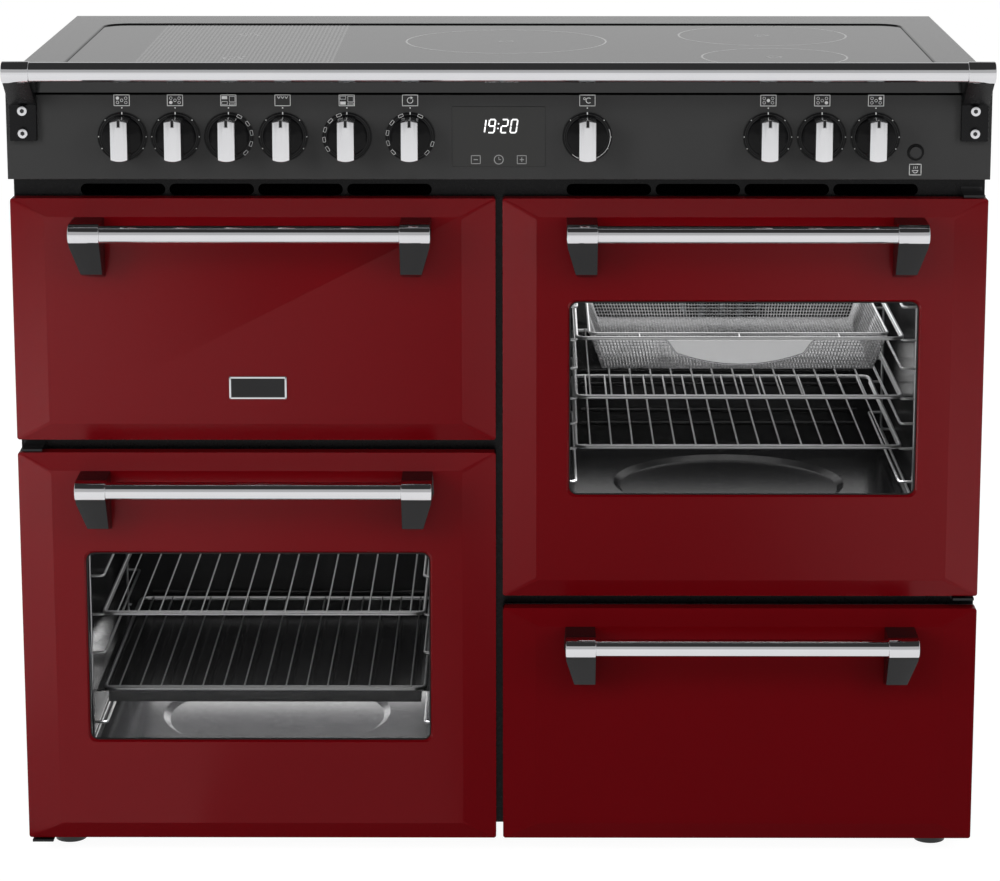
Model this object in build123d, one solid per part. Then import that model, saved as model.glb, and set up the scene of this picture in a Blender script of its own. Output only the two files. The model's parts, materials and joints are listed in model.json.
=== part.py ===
from build123d import *
import os

os.makedirs("parts", exist_ok=True)

# An induction range cooker of the 1100 mm class. X runs across, Y from the front to the back and Z up.
# The origin is on the floor, in the middle of the outer box.

# Body
body_width = 1091.0
body_depth = 600.0
hob_height = 915.0
door_overlap = 1.0
centre_gap = 8.0
sheet = 2.0
frame_setback = 32.0
base_height = 30.0
base_flange = 15.0
base_pockets = 3
vent_height = 24.0
panel_height = 96.0
frame_lap = 14.0
hob_skirt = 23.0
fit_gap = 0.3
overrun = 5.0

# Doors and drawer front
door_bottom = 20.0
door_shares = (277.0, 460.0)
door_gap = 15.0
door_thickness = 25.0
bevel_side = 38.0
bevel_end = 20.0
bevel_depth = 6.0
door_corner = 3.0
door_skin = 1.5
window_margin = 75.75
window_drop = 117.0
window_foot = 121.0
window_corner = 9.0
window_lip = 3.0
lip_ring = 6.0
pane_margin = 14.0
pane_thickness = 4.0
inner_window_margin = 6.0

# Handles
handle_margin = 71.25
handle_reach = 45.0
handle_drop = 32.0
handle_bar = 20.0
handle_cap = 24.0
bracket_width = 34.5
bracket_foot = 22.0
bracket_fall = 56.0
bracket_toe_reach = 30.0
bracket_toe_rise = 8.0
bracket_shoulder = 14.0

# Hinges of the doors
hinge_inset = 10.0
hinge_depth = 14.0
hinge_pin = 8.0
hinge_pin_length = 13.0
hinge_plate_width = 24.0
hinge_plate_outer = 6.0
hinge_plate = 2.5
hinge_plate_gap = 2.0
hinge_flange = 8.0
hinge_lap = 3.0
hinge_block = 16.0
hinge_block_height = 20.0
bearing_gap = 0.05
drop_hinge_rise = 8.0
drop_hinge_depth = 14.0
drop_hinge_inset = 28.0
drop_lug = 6.0
drop_lug_half = 4.0
drop_notch_gap = 1.5

# Compartments
cavity_margin = 56.25
cavity_back_gap = 126.0
cavity_floor_rise = 72.0
cavity_top_drop = 40.0
cavity_corner = 12.0
liner = 1.5
grill_floor_rise = 40.0
grill_top_drop = 37.0
bay_floor_rise = 27.0
bay_top_drop = 22.0
dish_share = 0.3233
dish_slope = 8.0
dish_depth = 5.0
seal_width = 8.0

# Vent slots
slot_length_share = 0.1751
slot_height = 8.0
slot_pitch_share = 0.1834
slot_count = 4
slot_shift_share = 0.0249
slot_drop = 11.0

# Control panel
panel_reach = 10.0
spindle = 6.0
spindle_hole = 9.0
ring_outer = 55.4
ring_inner = 50.0
ring_height = 1.2
skirt_diameter = 44.0
skirt_height = 6.0
skirt_stand = 1.6
grip_width = 19.0
grip_length = 46.0
grip_reach = 38.0
grip_round = 2.0
notch_width = 2.6
notch_depth = 6.0
notch_height = 7.0
switch_width = 40.0
switch_depth = 20.0
knob_rise = 48.0
display_width = 103.0
display_height = 67.0
display_pane = 3.0
display_case_margin = 6.0
display_case_depth = 16.0
display_proud = 0.6
button_diameter = 14.4
button_proud = 2.6
button_length = 10.0
button_travel = 2.0
button_rise = 31.0
button_inset = 83.5
knob_shares = {
    "knob_rear_left": -0.38222,
    "knob_front_left": -0.32814,
    "knob_top_oven": -0.27406,
    "knob_grill": -0.21907,
    "knob_left_oven": -0.15399,
    "knob_oven_mode": -0.08983,
    "knob_oven_heat": 0.08983,
    "knob_centre": 0.27314,
    "knob_front_right": 0.32768,
    "knob_rear_right": 0.38222,
}

# Front rail
rail_reach = 60.0
rail_rise = 7.0
rail_diameter = 22.0
rail_cap = 24.0
rail_bracket_width = 30.0
rail_bracket_inset = 4.5
rail_foot_fall = 82.0
rail_foot_plate = 8.0
rail_foot_shoulder = 42.0
bolt_head = 11.0
bolt_head_height = 4.0
bolt_socket = 5.0
bolt_socket_depth = 2.5
bolt_stem = 6.0
bolt_falls = (48.0, 73.0)

# Hob
hob_reach = 12.0
hob_side_border = 48.5
hob_back_border = 86.0
hob_front_border = 40.0
hob_corner = 30.0
hob_recess = 6.0
hob_ledge = 10.0
hob_glass_thickness = 4.0
hob_glass_gap = 0.5
tray_depth = 40.0
coil_height = 8.0
coil_hole_share = 0.2
coil_post_share = 0.25
board_height = 16.0
board_length_share = 0.181
board_width_share = 0.72
board_front_share = 0.2325
zone_shares = {
    "left_rear": (-0.6157, 0.8086, 0.1646),
    "left_front": (-0.6157, 0.358, 0.1646),
    "centre": (0.0121, 0.6379, 0.2469),
    "right_rear": (0.6398, 0.7613, 0.2099),
    "right_front": (0.6398, 0.321, 0.1728),
}

# Feet
foot_radius = 18.0
foot_pad = 8.0
foot_stem = 12.0
foot_inset_side = 40.0
foot_inset_front = 62.0
foot_inset_back = 60.0

# Shelves, ladders, tray and basket
shelf_side_gap = 28.0
shelf_front = 68.0
shelf_back_gap = 24.0
bar_radius = 2.5
wire_radius = 1.25
wire_span_share = 0.9134
wire_count = 15
wire_sides = 8
second_bar_set = 9.4
ladder_wire = 2.0
ladder_post_set = 16.0
ladder_front_set = 12.0
ladder_foot_rise = 22.0
ladder_top_drop = 24.0
left_rise_shares = (0.5172, 0.2557)
right_rise_shares = (0.4224, 0.2529)
basket_rise_share = 0.6207
tray_rim = 10.0
tray_wall = 1.0
tray_fall = 14.0
tray_side_set = 4.0
basket_side_gap = 15.0
basket_end_gap = 26.0
basket_slope = 15.5
basket_fall_share = 0.1264
basket_ties = 3
basket_wall = 2.0
plate_share = 0.46
plate_fall = 28.0
plate_shoulder = 16.0
plate_sag = 12.0
plate_thickness = 2.0

# Fans and heating elements
cover_side_gap = 70.0
cover_height_share = 0.546
cover_depth = 20.0
cover_rise_share = 0.3218
cover_slot = 8.0
cover_slot_height_share = 0.2421
cover_slot_pitch_share = 0.0828
cover_slot_rows = 2
cover_slot_count = 9
fan_share = 0.3263
fan_hub = 16.0
fan_depth = 14.0
fan_blades = 8
fan_blade = 1.6
fan_back_gap = 3.0
shaft_radius = 4.0
motor_radius = 32.0
motor_length = 46.0
element_radius = 3.5
ring_element_share = 0.3895
grill_element_side_gap = 65.0
grill_element_end_gap = 100.0
grill_element_runs = 6
grill_element_drop = 18.0

# Drawer
box_side_gap = 15.0
box_top_gap = 24.0
box_rise = 14.0
box_wall = 1.5
box_back_gap = 19.0
flange_reach = 11.0
flange_height = 3.0
flange_rise_share = 0.6842
runner_reach = 10.0
runner_height = 6.0

# Insulation and terminal box
slab = 22.0
terminal_width = 110.0
terminal_height = 80.0
terminal_depth = 40.0
terminal_rise = 90.0
terminal_inset = 165.5
terminal_wall = 2.5
cable_hole = 25.0

# Places worked out from the sizes above
front_reach = rail_reach + rail_cap / 2
face_y = (front_reach - body_depth) / 2
back_y = face_y + body_depth
frame_y = face_y + frame_setback
cavity_y = frame_y + sheet
half_body = body_width / 2
column_width = (body_width - centre_gap) / 2 + door_overlap
column_x = (centre_gap + column_width) / 2
left_x = -column_x
right_x = column_x
hob_underside = hob_height - hob_skirt
panel_bottom = hob_underside - panel_height
door_top = panel_bottom - vent_height
short_door = (door_top - door_bottom - door_gap) * door_shares[0] / sum(door_shares)
tall_door = (door_top - door_bottom - door_gap) * door_shares[1] / sum(door_shares)
short_top = door_bottom + short_door
tall_top = door_bottom + tall_door
grill_z = tall_top + door_gap
right_z = short_top + door_gap
panel_y = face_y - panel_reach
hob_y = face_y - hob_reach
knob_z = panel_bottom + knob_rise
skin_depth = door_thickness - sheet
window_width = column_width - 2 * window_margin
window_height = tall_door - window_drop - window_foot
handle_length = column_width - 2 * handle_margin

cavity_width = column_width - 2 * cavity_margin
cavity_depth = body_depth - frame_setback - sheet - cavity_back_gap
cavity_height = tall_door - cavity_floor_rise - cavity_top_drop
grill_height = short_door - grill_floor_rise - grill_top_drop
bay_height = short_door - bay_floor_rise - bay_top_drop
dish_radius = cavity_width * dish_share
dish_floor_radius = dish_radius - dish_slope
slot_length = column_width * slot_length_share
slot_pitch = column_width * slot_pitch_share

shelf_width = cavity_width - 2 * shelf_side_gap
shelf_depth = cavity_y + cavity_depth - shelf_back_gap - face_y - shelf_front
wire_pitch = shelf_width * wire_span_share / (wire_count - 1)
left_shelf_rises = [cavity_height * share for share in left_rise_shares]
right_shelf_rises = [cavity_height * share for share in right_rise_shares]
basket_rise = cavity_height * basket_rise_share
basket_fall = cavity_height * basket_fall_share
basket_top = (shelf_width - 2 * basket_side_gap, shelf_depth - 2 * basket_end_gap)
basket_base = (basket_top[0] - 2 * basket_slope, basket_top[1] - 2 * basket_slope)
plate_width = shelf_width * plate_share

cover_width = cavity_width - 2 * cover_side_gap
cover_height = cavity_height * cover_height_share
cover_rise = cavity_height * cover_rise_share
cover_slot_height = cover_height * cover_slot_height_share
cover_slot_pitch = cover_width * cover_slot_pitch_share
fan_radius = cover_height * fan_share
ring_element_radius = cover_height * ring_element_share
grill_element_width = cavity_width - 2 * grill_element_side_gap
grill_element_depth = cavity_depth - 2 * grill_element_end_gap

box_height = bay_height - box_rise - box_top_gap
box_depth = cavity_y + cavity_depth - box_back_gap - face_y - door_thickness
flange_rise = box_height * flange_rise_share
button_place = half_body - button_inset
terminal_place = half_body - terminal_inset
knob_places = {name: body_width * share for name, share in knob_shares.items()}

glass_half = half_body - hob_side_border
glass_front = hob_y + hob_front_border
glass_depth = back_y - hob_back_border - glass_front
zones = {
    name: (glass_half * across, glass_front + glass_depth * back, glass_depth * radius)
    for name, (across, back, radius) in zone_shares.items()
}


def block(x0, x1, y0, y1, z0, z1):
    """A box between two corners."""
    size = Box(x1 - x0, y1 - y0, z1 - z0)
    return Pos((x0 + x1) / 2, (y0 + y1) / 2, (z0 + z1) / 2) * size


def rounded_block(x0, x1, y0, y1, z0, z1, radius):
    """A box whose four edges along Y are round."""
    outline = RectangleRounded(x1 - x0, z1 - z0, radius)
    solid = extrude(outline, y1 - y0)
    return Pos((x0 + x1) / 2, y1, (z0 + z1) / 2) * Rot(X=90) * solid


def rod(start, end, radius, sides=0):
    """A straight bar between two points, round, or with a few flats where it repeats often."""
    line = Vector(*end) - Vector(*start)
    plane = Plane(origin=start, z_dir=line)
    outline = RegularPolygon(radius, sides) if sides else Circle(radius)
    return extrude(plane * outline, line.length)


def on_front(shape, x, y, z):
    """Turns a shape drawn facing up so that it faces the front, and puts it in place."""
    return Pos(x, y, z) * Rot(X=90) * shape


# Doors are drawn lying on their backs: X across, Y up the door and the face at zero, looking up.


def bevelled_form(width, height, inset, depth):
    """The outer form of a door less an inset all round: a flat face inside four bevels."""
    outer = RectangleRounded(width - 2 * inset, height - 2 * inset, door_corner)
    face = RectangleRounded(width - 2 * bevel_side, height - 2 * bevel_end, door_corner)
    foot = -bevel_depth - inset
    bevels = loft([Pos(0, 0, foot) * outer, Pos(0, 0, -inset) * face], ruled=True)
    return bevels + Pos(0, 0, -depth) * extrude(outer, depth + foot)


def window_place(height):
    """The height of the window's middle above the door's middle."""
    return height / 2 - window_drop - window_height / 2


def pressed_skin(width, height, window):
    """The enamelled front pressing, open at its back, with a lipped window where it has one."""
    skin = bevelled_form(width, height, 0, skin_depth)
    skin -= bevelled_form(width, height, door_skin, skin_depth + overrun)
    if window:
        place = Pos(0, window_place(height), 0)
        mouth = RectangleRounded(
            window_width + 2 * window_lip, window_height + 2 * window_lip, window_corner
        )
        throat = RectangleRounded(window_width, window_height, window_corner)
        ring = RectangleRounded(
            window_width + 2 * lip_ring, window_height + 2 * lip_ring, window_corner
        )
        skin += place * Pos(0, 0, -window_lip) * extrude(ring, window_lip - door_skin)
        skin -= place * loft([mouth, Pos(0, 0, -window_lip) * throat], ruled=True)
        skin -= place * Pos(0, 0, -window_lip - overrun) * extrude(throat, window_lip + overrun)
    return skin


def inner_sheet(width, height, window):
    """The flat sheet that closes a door's back, with the inner window."""
    panel = Pos(0, 0, -door_thickness) * extrude(
        RectangleRounded(width, height, door_corner), sheet
    )
    if window:
        hole = RectangleRounded(
            window_width - 2 * inner_window_margin,
            window_height - 2 * inner_window_margin,
            window_corner,
        )
        panel -= (
            Pos(0, window_place(height), -door_thickness - overrun)
            * extrude(hole, sheet + 2 * overrun)
        )
    return panel


def door_panes(height):
    """The outer and the inner glass of a door."""
    outer = RectangleRounded(
        window_width + 2 * pane_margin, window_height + 2 * pane_margin, window_corner
    )
    inner = RectangleRounded(
        window_width + pane_margin, window_height + pane_margin, window_corner
    )
    place = Pos(0, window_place(height), 0)
    outer_pane = place * Pos(0, 0, -window_lip - pane_thickness) * extrude(outer, pane_thickness)
    inner_pane = place * Pos(0, 0, -skin_depth) * extrude(inner, pane_thickness)
    return [outer_pane, inner_pane]


def handle_bracket(outward):
    """One end bracket of a door handle. Its foot tapers on the outer side, which outward gives."""
    radius = handle_cap / 2
    # The side view, drawn with X towards the front and Y up.
    cap = Pos(handle_reach, 0) * Circle(radius)
    foot = Polygon(
        (0, radius),
        (0, -bracket_fall),
        (bracket_toe_reach, bracket_toe_rise - bracket_fall),
        align=None,
    )
    side = make_hull(cap.edges() + foot.edges())
    solid = extrude(side, bracket_width)
    # Stands it up: the side view's X becomes the door's outward normal, and its Y stays up.
    solid = Rot(Y=-90) * solid
    solid = Pos(bracket_width / 2, 0, 0) * solid
    taper = bracket_width - bracket_foot
    wedge = Polygon(
        (bracket_width / 2, -bracket_shoulder),
        (bracket_width / 2 - taper, -bracket_fall),
        (bracket_width / 2 - taper, -bracket_fall - overrun),
        (bracket_width / 2 + overrun, -bracket_fall - overrun),
        (bracket_width / 2 + overrun, -bracket_shoulder),
        align=None,
    )
    solid -= extrude(wedge, handle_reach + handle_cap)
    if outward < 0:
        solid = solid.mirror(Plane.YZ)
    return solid


def door_handle(height):
    """The bar of a door handle and its two brackets, on the face of a door of this height."""
    level = height / 2 - handle_drop
    arm = handle_length / 2 - bracket_width / 2
    bar_length = handle_length - 2 * bracket_width
    bar = Pos(-bar_length / 2, level, handle_reach) * Rot(Y=90) * extrude(
        Circle(handle_bar / 2), bar_length
    )
    left = Pos(-arm, level, 0) * handle_bracket(-1)
    right = Pos(arm, level, 0) * handle_bracket(1)
    return [bar, left, right]


def swing_blocks(width, height, side):
    """The two bearing blocks inside a side-hung door, and the tool that bores the door for its pins."""
    x = side * (width / 2 - hinge_inset)
    blocks = []
    depth = skin_depth - bevel_depth - door_skin - fit_gap
    for end in (1, -1):
        edge = end * (height / 2 - door_corner)
        middle = edge - end * hinge_block_height / 2
        body = Pos(x, middle, -skin_depth + depth / 2) * Box(hinge_block, hinge_block_height, depth)
        blocks.append(body)
    hole = Circle(hinge_pin / 2 + bearing_gap)
    bore = Pos(x, -height / 2 - overrun, -hinge_depth) * Rot(X=-90) * extrude(
        hole, height + 2 * overrun
    )
    return blocks, bore


def swing_door(name, x, z, side):
    """The nodes of a side-hung oven door. Its hinge is on the side that side gives."""
    width, height = column_width, tall_door
    blocks, bore = swing_blocks(width, height, side)
    skin = pressed_skin(width, height, True) - bore
    inner = inner_sheet(width, height, True)
    for piece in blocks:
        inner += piece
    inner -= bore
    middle = z + height / 2
    return {
        name + "_door_skin": on_front(skin, x, face_y, middle),
        name + "_door_inner": on_front(inner, x, face_y, middle),
        name + "_door_glass": group([on_front(p, x, face_y, middle) for p in door_panes(height)]),
        name + "_door_handle": group([on_front(p, x, face_y, middle) for p in door_handle(height)]),
    }


def group(solids):
    """Separate solids kept together as one node."""
    return Compound(children=list(solids))


def lug_places(x):
    """The middles of the two drop-down hinge lugs, and the side on which each one's pin stands."""
    reach = column_width / 2 - drop_hinge_inset
    return ((x - reach, 1), (x + reach, -1))


def grill_door():
    """The nodes of the drop-down grill door."""
    width, height = column_width, short_door
    middle = grill_z + height / 2
    skin = on_front(pressed_skin(width, height, False), left_x, face_y, middle)
    inner = on_front(inner_sheet(width, height, False), left_x, face_y, middle)
    axis_y = face_y + drop_hinge_depth
    axis_z = grill_z + drop_hinge_rise
    for lug_x, side in lug_places(left_x):
        start = lug_x + side * (drop_lug / 2 + drop_notch_gap)
        end = start + side * hinge_block
        block_low = grill_z + door_skin
        body = block(
            min(start, end), max(start, end),
            face_y + bevel_depth + 2 * door_skin, face_y + skin_depth,
            block_low, block_low + hinge_block,
        )
        bore = rod((start - side * overrun, axis_y, axis_z), (end + side * overrun, axis_y, axis_z),
                   hinge_pin / 2 + bearing_gap)
        inner += body - bore
        notch = block(
            lug_x - drop_lug / 2 - drop_notch_gap, lug_x + drop_lug / 2 + drop_notch_gap,
            axis_y - drop_lug_half - drop_notch_gap, face_y + door_thickness + overrun,
            grill_z - overrun, axis_z + drop_lug_half + drop_notch_gap,
        )
        inner -= notch
        skin -= notch
    return {
        "grill_door_skin": skin,
        "grill_door_inner": inner,
        "grill_door_handle": group(
            [on_front(p, left_x, face_y, middle) for p in door_handle(height)]
        ),
    }


def drawer():
    """The pull-out drawer: its front pressing, its box on side flanges and its handle."""
    width, height = column_width, short_door
    middle = door_bottom + height / 2
    front = on_front(pressed_skin(width, height, False), right_x, face_y, middle)
    box = on_front(inner_sheet(width, height, False), right_x, face_y, middle)
    half = cavity_width / 2 - box_side_gap
    floor = door_bottom + bay_floor_rise + box_rise
    box_y = face_y + door_thickness
    box += block(right_x - half, right_x + half, box_y, box_y + box_depth, floor, floor + box_height)
    box -= block(
        right_x - half + box_wall, right_x + half - box_wall,
        box_y, box_y + box_depth - box_wall,
        floor + box_wall, floor + box_height + overrun,
    )
    for side in (-1, 1):
        inner_x = right_x + side * half
        outer_x = inner_x + side * flange_reach
        level = floor + flange_rise
        box += block(
            min(inner_x, outer_x), max(inner_x, outer_x),
            box_y + box_side_gap, box_y + box_depth,
            level, level + flange_height,
        )
    return {
        "drawer_front": front,
        "drawer_box": box,
        "drawer_handle": group([on_front(p, right_x, face_y, middle) for p in door_handle(height)]),
    }


def compartments():
    """The four openings in the front: column middle, floor, height and which frame each is in."""
    return {
        "grill_cavity": (left_x, grill_z + grill_floor_rise, grill_height),
        "left_oven_cavity": (left_x, door_bottom + cavity_floor_rise, cavity_height),
        "right_oven_cavity": (right_x, right_z + cavity_floor_rise, cavity_height),
        "drawer_bay": (right_x, door_bottom + bay_floor_rise, bay_height),
    }


def front_frame(side):
    """One front frame, with its two openings and its row of vent slots."""
    inner = 0
    outer = side * half_body
    top_z = panel_bottom + frame_lap
    frame = block(min(inner, outer), max(inner, outer), frame_y, cavity_y, base_height, top_z)
    middle = left_x if side < 0 else right_x
    for x, floor, height in compartments().values():
        if x == middle:
            frame -= rounded_block(
                x - cavity_width / 2, x + cavity_width / 2,
                frame_y - overrun, cavity_y + overrun,
                floor, floor + height, cavity_corner,
            )
    # The slots lie in the strip that shows between the doors and the panel.
    first = middle - (slot_count - 1) * slot_pitch / 2 + side * column_width * slot_shift_share
    top = panel_bottom - slot_drop + slot_height / 2
    for index in range(slot_count):
        x = first + index * slot_pitch
        frame -= rounded_block(
            x - slot_length / 2, x + slot_length / 2,
            frame_y - overrun, cavity_y + overrun,
            top - slot_height, top, slot_height / 2 - bearing_gap,
        )
    return frame


def oven_liner(x, floor, height, dished, shaft_hole):
    """An enamelled liner, open at the front, with a round dish pressed in an oven's floor."""
    half = cavity_width / 2
    shell = rounded_block(
        x - half - liner, x + half + liner, cavity_y, cavity_y + cavity_depth + liner,
        floor - liner, floor + height + liner, cavity_corner + liner,
    )
    shell -= rounded_block(
        x - half, x + half, cavity_y - overrun, cavity_y + cavity_depth,
        floor, floor + height, cavity_corner,
    )
    if dished:
        middle_y = cavity_y + cavity_depth / 2
        boss = Pos(x, middle_y, floor - dish_depth - liner) * extrude(
            Circle(dish_radius + liner), dish_depth
        )
        pit = loft(
            [Circle(dish_radius), Pos(0, 0, -dish_depth) * Circle(dish_floor_radius)], ruled=True
        )
        shell += boss
        shell -= Pos(x, middle_y, floor) * pit
    if shaft_hole:
        back = cavity_y + cavity_depth
        hole_z = floor + cover_rise + cover_height / 2
        shell -= rod((x, back - overrun, hole_z), (x, back + overrun, hole_z), shaft_radius + fit_gap)
    return shell


def drawer_bay():
    """The bay that the drawer slides in, with a runner along each side."""
    x, floor, height = compartments()["drawer_bay"]
    bay = oven_liner(x, floor, height, False, False)
    level = floor + box_rise + flange_rise - fit_gap
    for side in (-1, 1):
        wall = x + side * cavity_width / 2
        edge = wall - side * runner_reach
        bay += block(
            min(wall, edge), max(wall, edge), cavity_y, cavity_y + cavity_depth,
            level - runner_height, level,
        )
    return bay


def oven_seals():
    """The four gaskets on the front frames, one round each opening."""
    seals = []
    for x, floor, height in compartments().values():
        half = cavity_width / 2 + seal_width
        ring = rounded_block(
            x - half, x + half, face_y + door_thickness + fit_gap, frame_y,
            floor - seal_width, floor + height + seal_width, cavity_corner + seal_width,
        )
        ring -= rounded_block(
            x - cavity_width / 2, x + cavity_width / 2, face_y, cavity_y,
            floor, floor + height, cavity_corner,
        )
        seals.append(ring)
    return group(seals)


def base_frame():
    """The pressed base: a plate with a folded edge all round and two cross ribs."""
    half = half_body - sheet
    low = base_height
    base = block(-half, half, cavity_y, back_y - sheet, low, low + base_flange)
    inner = 2 * half - 2 * sheet
    width = (inner - (base_pockets - 1) * sheet) / base_pockets
    for index in range(base_pockets):
        start = -half + sheet + index * (width + sheet)
        base -= block(
            start, start + width, cavity_y + sheet, back_y - 2 * sheet,
            low - overrun, low + base_flange - sheet,
        )
    for x, y in foot_places():
        base += Pos(x, y, low) * extrude(Circle(foot_stem), base_flange)
    return base


def foot_places():
    """Where the levelling feet stand."""
    x = half_body - foot_inset_side
    return [
        (side * x, y)
        for side in (-1, 1)
        for y in (face_y + foot_inset_front, back_y - foot_inset_back)
    ]


def levelling_feet():
    """Four feet, each a round pad under a stem."""
    feet = []
    for x, y in foot_places():
        pad = extrude(Circle(foot_radius), foot_pad)
        stem = Pos(0, 0, foot_pad) * extrude(Circle(foot_stem / 2), base_height - foot_pad)
        feet.append(Pos(x, y, 0) * (pad + stem))
    return group(feet)


def side_panels():
    """The two outer side sheets."""
    return group(
        block(
            min(side * half_body, side * (half_body - sheet)),
            max(side * half_body, side * (half_body - sheet)),
            cavity_y, back_y, base_height, hob_underside,
        )
        for side in (-1, 1)
    )


def back_panel():
    """The back sheet, with the hole for the mains cable's box."""
    half = half_body - sheet
    return block(-half, half, back_y - sheet, back_y, base_height, hob_underside)


def terminal_box():
    """The mains connection box inside the back, with its cable entry through the back sheet."""
    x0 = terminal_place - terminal_width / 2
    x1 = terminal_place + terminal_width / 2
    y1 = back_y - sheet
    y0 = y1 - terminal_depth
    z0 = terminal_rise
    z1 = terminal_rise + terminal_height
    box = block(x0, x1, y0, y1, z0, z1)
    box -= block(
        x0 + terminal_wall, x1 - terminal_wall, y0 + terminal_wall, y1 - terminal_wall,
        z0 + terminal_wall, z1 - terminal_wall,
    )
    return box


def cable_bore():
    """The tool that cuts the cable entry through the back sheet and the terminal box."""
    z = terminal_rise + terminal_height / 2
    return rod(
        (terminal_place, back_y - sheet - 2 * terminal_wall, z),
        (terminal_place, back_y + overrun, z),
        cable_hole / 2,
    )


def control_panel():
    """The folded control panel, with its knob rings, bores and display opening."""
    panel = block(-half_body, half_body, panel_y, frame_y, panel_bottom, hob_underside)
    panel -= block(
        -half_body + sheet, half_body - sheet, panel_y + sheet, frame_y + overrun,
        panel_bottom + sheet, hob_underside - sheet,
    )
    for x in knob_places.values():
        ring = extrude(Circle(ring_outer / 2) - Circle(ring_inner / 2), ring_height)
        panel += on_front(ring, x, panel_y, knob_z)
        panel -= rod((x, panel_y - overrun, knob_z), (x, panel_y + overrun, knob_z), spindle_hole / 2)
    panel -= block(
        -display_width / 2 - fit_gap, display_width / 2 + fit_gap,
        panel_y - overrun, panel_y + overrun,
        knob_z - display_height / 2 - fit_gap, knob_z + display_height / 2 + fit_gap,
    )
    button_z = panel_bottom + button_rise
    panel -= rod(
        (button_place, panel_y - overrun, button_z), (button_place, panel_y + overrun, button_z),
        button_diameter / 2 + fit_gap,
    )
    return panel


def clock_display():
    """The glass of the clock and the case behind it."""
    pane = block(
        -display_width / 2, display_width / 2, panel_y - display_proud,
        panel_y + display_pane, knob_z - display_height / 2, knob_z + display_height / 2,
    )
    half_x = display_width / 2 + display_case_margin
    half_z = display_height / 2 + display_case_margin
    case = block(
        -half_x, half_x, panel_y + sheet, panel_y + sheet + display_case_depth,
        knob_z - half_z, knob_z + half_z,
    )
    return pane + case


def knob_switches():
    """A rotary switch behind each knob, and the push switch behind the button."""
    switches = []
    for x in knob_places.values():
        half = switch_width / 2
        body = block(
            x - half, x + half, panel_y + sheet, panel_y + sheet + switch_depth,
            knob_z - half, knob_z + half,
        )
        bore = rod(
            (x, panel_y, knob_z), (x, panel_y + sheet + switch_depth / 2 + fit_gap, knob_z),
            spindle / 2 + bearing_gap,
        )
        switches.append(body - bore)
    button_z = panel_bottom + button_rise
    back = panel_y - button_proud + button_length + button_travel + fit_gap
    switches.append(
        block(
            button_place - button_diameter, button_place + button_diameter,
            panel_y + sheet, frame_y, button_z - button_diameter, button_z + button_diameter,
        )
        - rod(
            (button_place, panel_y, button_z), (button_place, back, button_z),
            button_diameter / 2 + fit_gap,
        )
    )
    return group(switches)


def knob():
    """A knob facing up: spindle, round skirt and a tall grip with rounded ends and a pointer notch."""
    skirt = Pos(0, 0, skirt_stand) * extrude(Circle(skirt_diameter / 2), skirt_height)
    skirt = chamfer(skirt.edges().group_by(Axis.Z)[-1], grip_round)
    round_ends = Circle(grip_length / 2) & Rectangle(grip_width, grip_length)
    grip = Pos(0, 0, skirt_stand + skirt_height) * extrude(round_ends, grip_reach - skirt_stand - skirt_height)
    grip = chamfer(grip.edges().group_by(Axis.Z)[-1], grip_round)
    notch = Pos(0, grip_length / 2 - notch_height / 2, grip_reach - notch_depth / 2) * Box(
        notch_width, notch_height, notch_depth
    )
    below = sheet + switch_depth / 2
    stem = Pos(0, 0, -below) * extrude(Circle(spindle / 2), below + skirt_stand)
    return skirt + grip - notch + stem


def push_button():
    """The round push button, standing a little proud of the panel."""
    button = Pos(0, 0, button_proud - button_length) * extrude(
        Circle(button_diameter / 2), button_length
    )
    button = chamfer(button.edges().group_by(Axis.Z)[-1], grip_round / 2)
    return on_front(button, button_place, panel_y, panel_bottom + button_rise)


def rail_places():
    """The middles of the two rail brackets."""
    x = half_body - rail_bracket_inset - rail_bracket_width / 2
    return (-x, x)


def front_rail():
    """The round rail along the front of the hob."""
    reach = rail_places()[1] - rail_bracket_width / 2
    y = face_y - rail_reach
    z = hob_height + rail_rise
    return rod((-reach, y, z), (reach, y, z), rail_diameter / 2)


def rail_brackets():
    """The two brackets that carry the rail, each bolted to the panel's face."""
    z = hob_height + rail_rise
    y = face_y - rail_reach
    radius = rail_cap / 2
    # The side view: X is the world's Y and Y is the world's Z.
    cap = Pos(y, z) * Circle(radius)
    seat = Polygon(
        (panel_y, z - rail_foot_shoulder),
        (panel_y - rail_foot_plate, z - rail_foot_shoulder),
        (panel_y - rail_foot_plate, hob_underside),
        (panel_y, hob_underside),
        align=None,
    )
    side = make_hull(cap.edges() + seat.edges())
    side -= Pos(hob_y - fit_gap, hob_underside - fit_gap) * Rectangle(
        rail_foot_fall, rail_foot_fall, align=(Align.MIN, Align.MIN)
    )
    foot_top = z - rail_foot_shoulder
    foot_low = z - rail_foot_fall
    side += Pos(panel_y - rail_foot_plate / 2, (foot_top + foot_low) / 2) * Rectangle(
        rail_foot_plate, foot_top - foot_low
    )
    solid = extrude(side, rail_bracket_width)
    # The side view stands up with its normal along X.
    solid = Rot(X=90) * solid
    solid = Rot(Z=90) * solid
    pieces = []
    for x in rail_places():
        piece = Pos(x - rail_bracket_width / 2, 0, 0) * solid
        for fall in bolt_falls:
            piece -= rod((x, panel_y - rail_foot_plate - overrun, z - fall),
                         (x, panel_y + overrun, z - fall), bolt_stem / 2 + bearing_gap)
        pieces.append(piece)
    return group(pieces)


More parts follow.
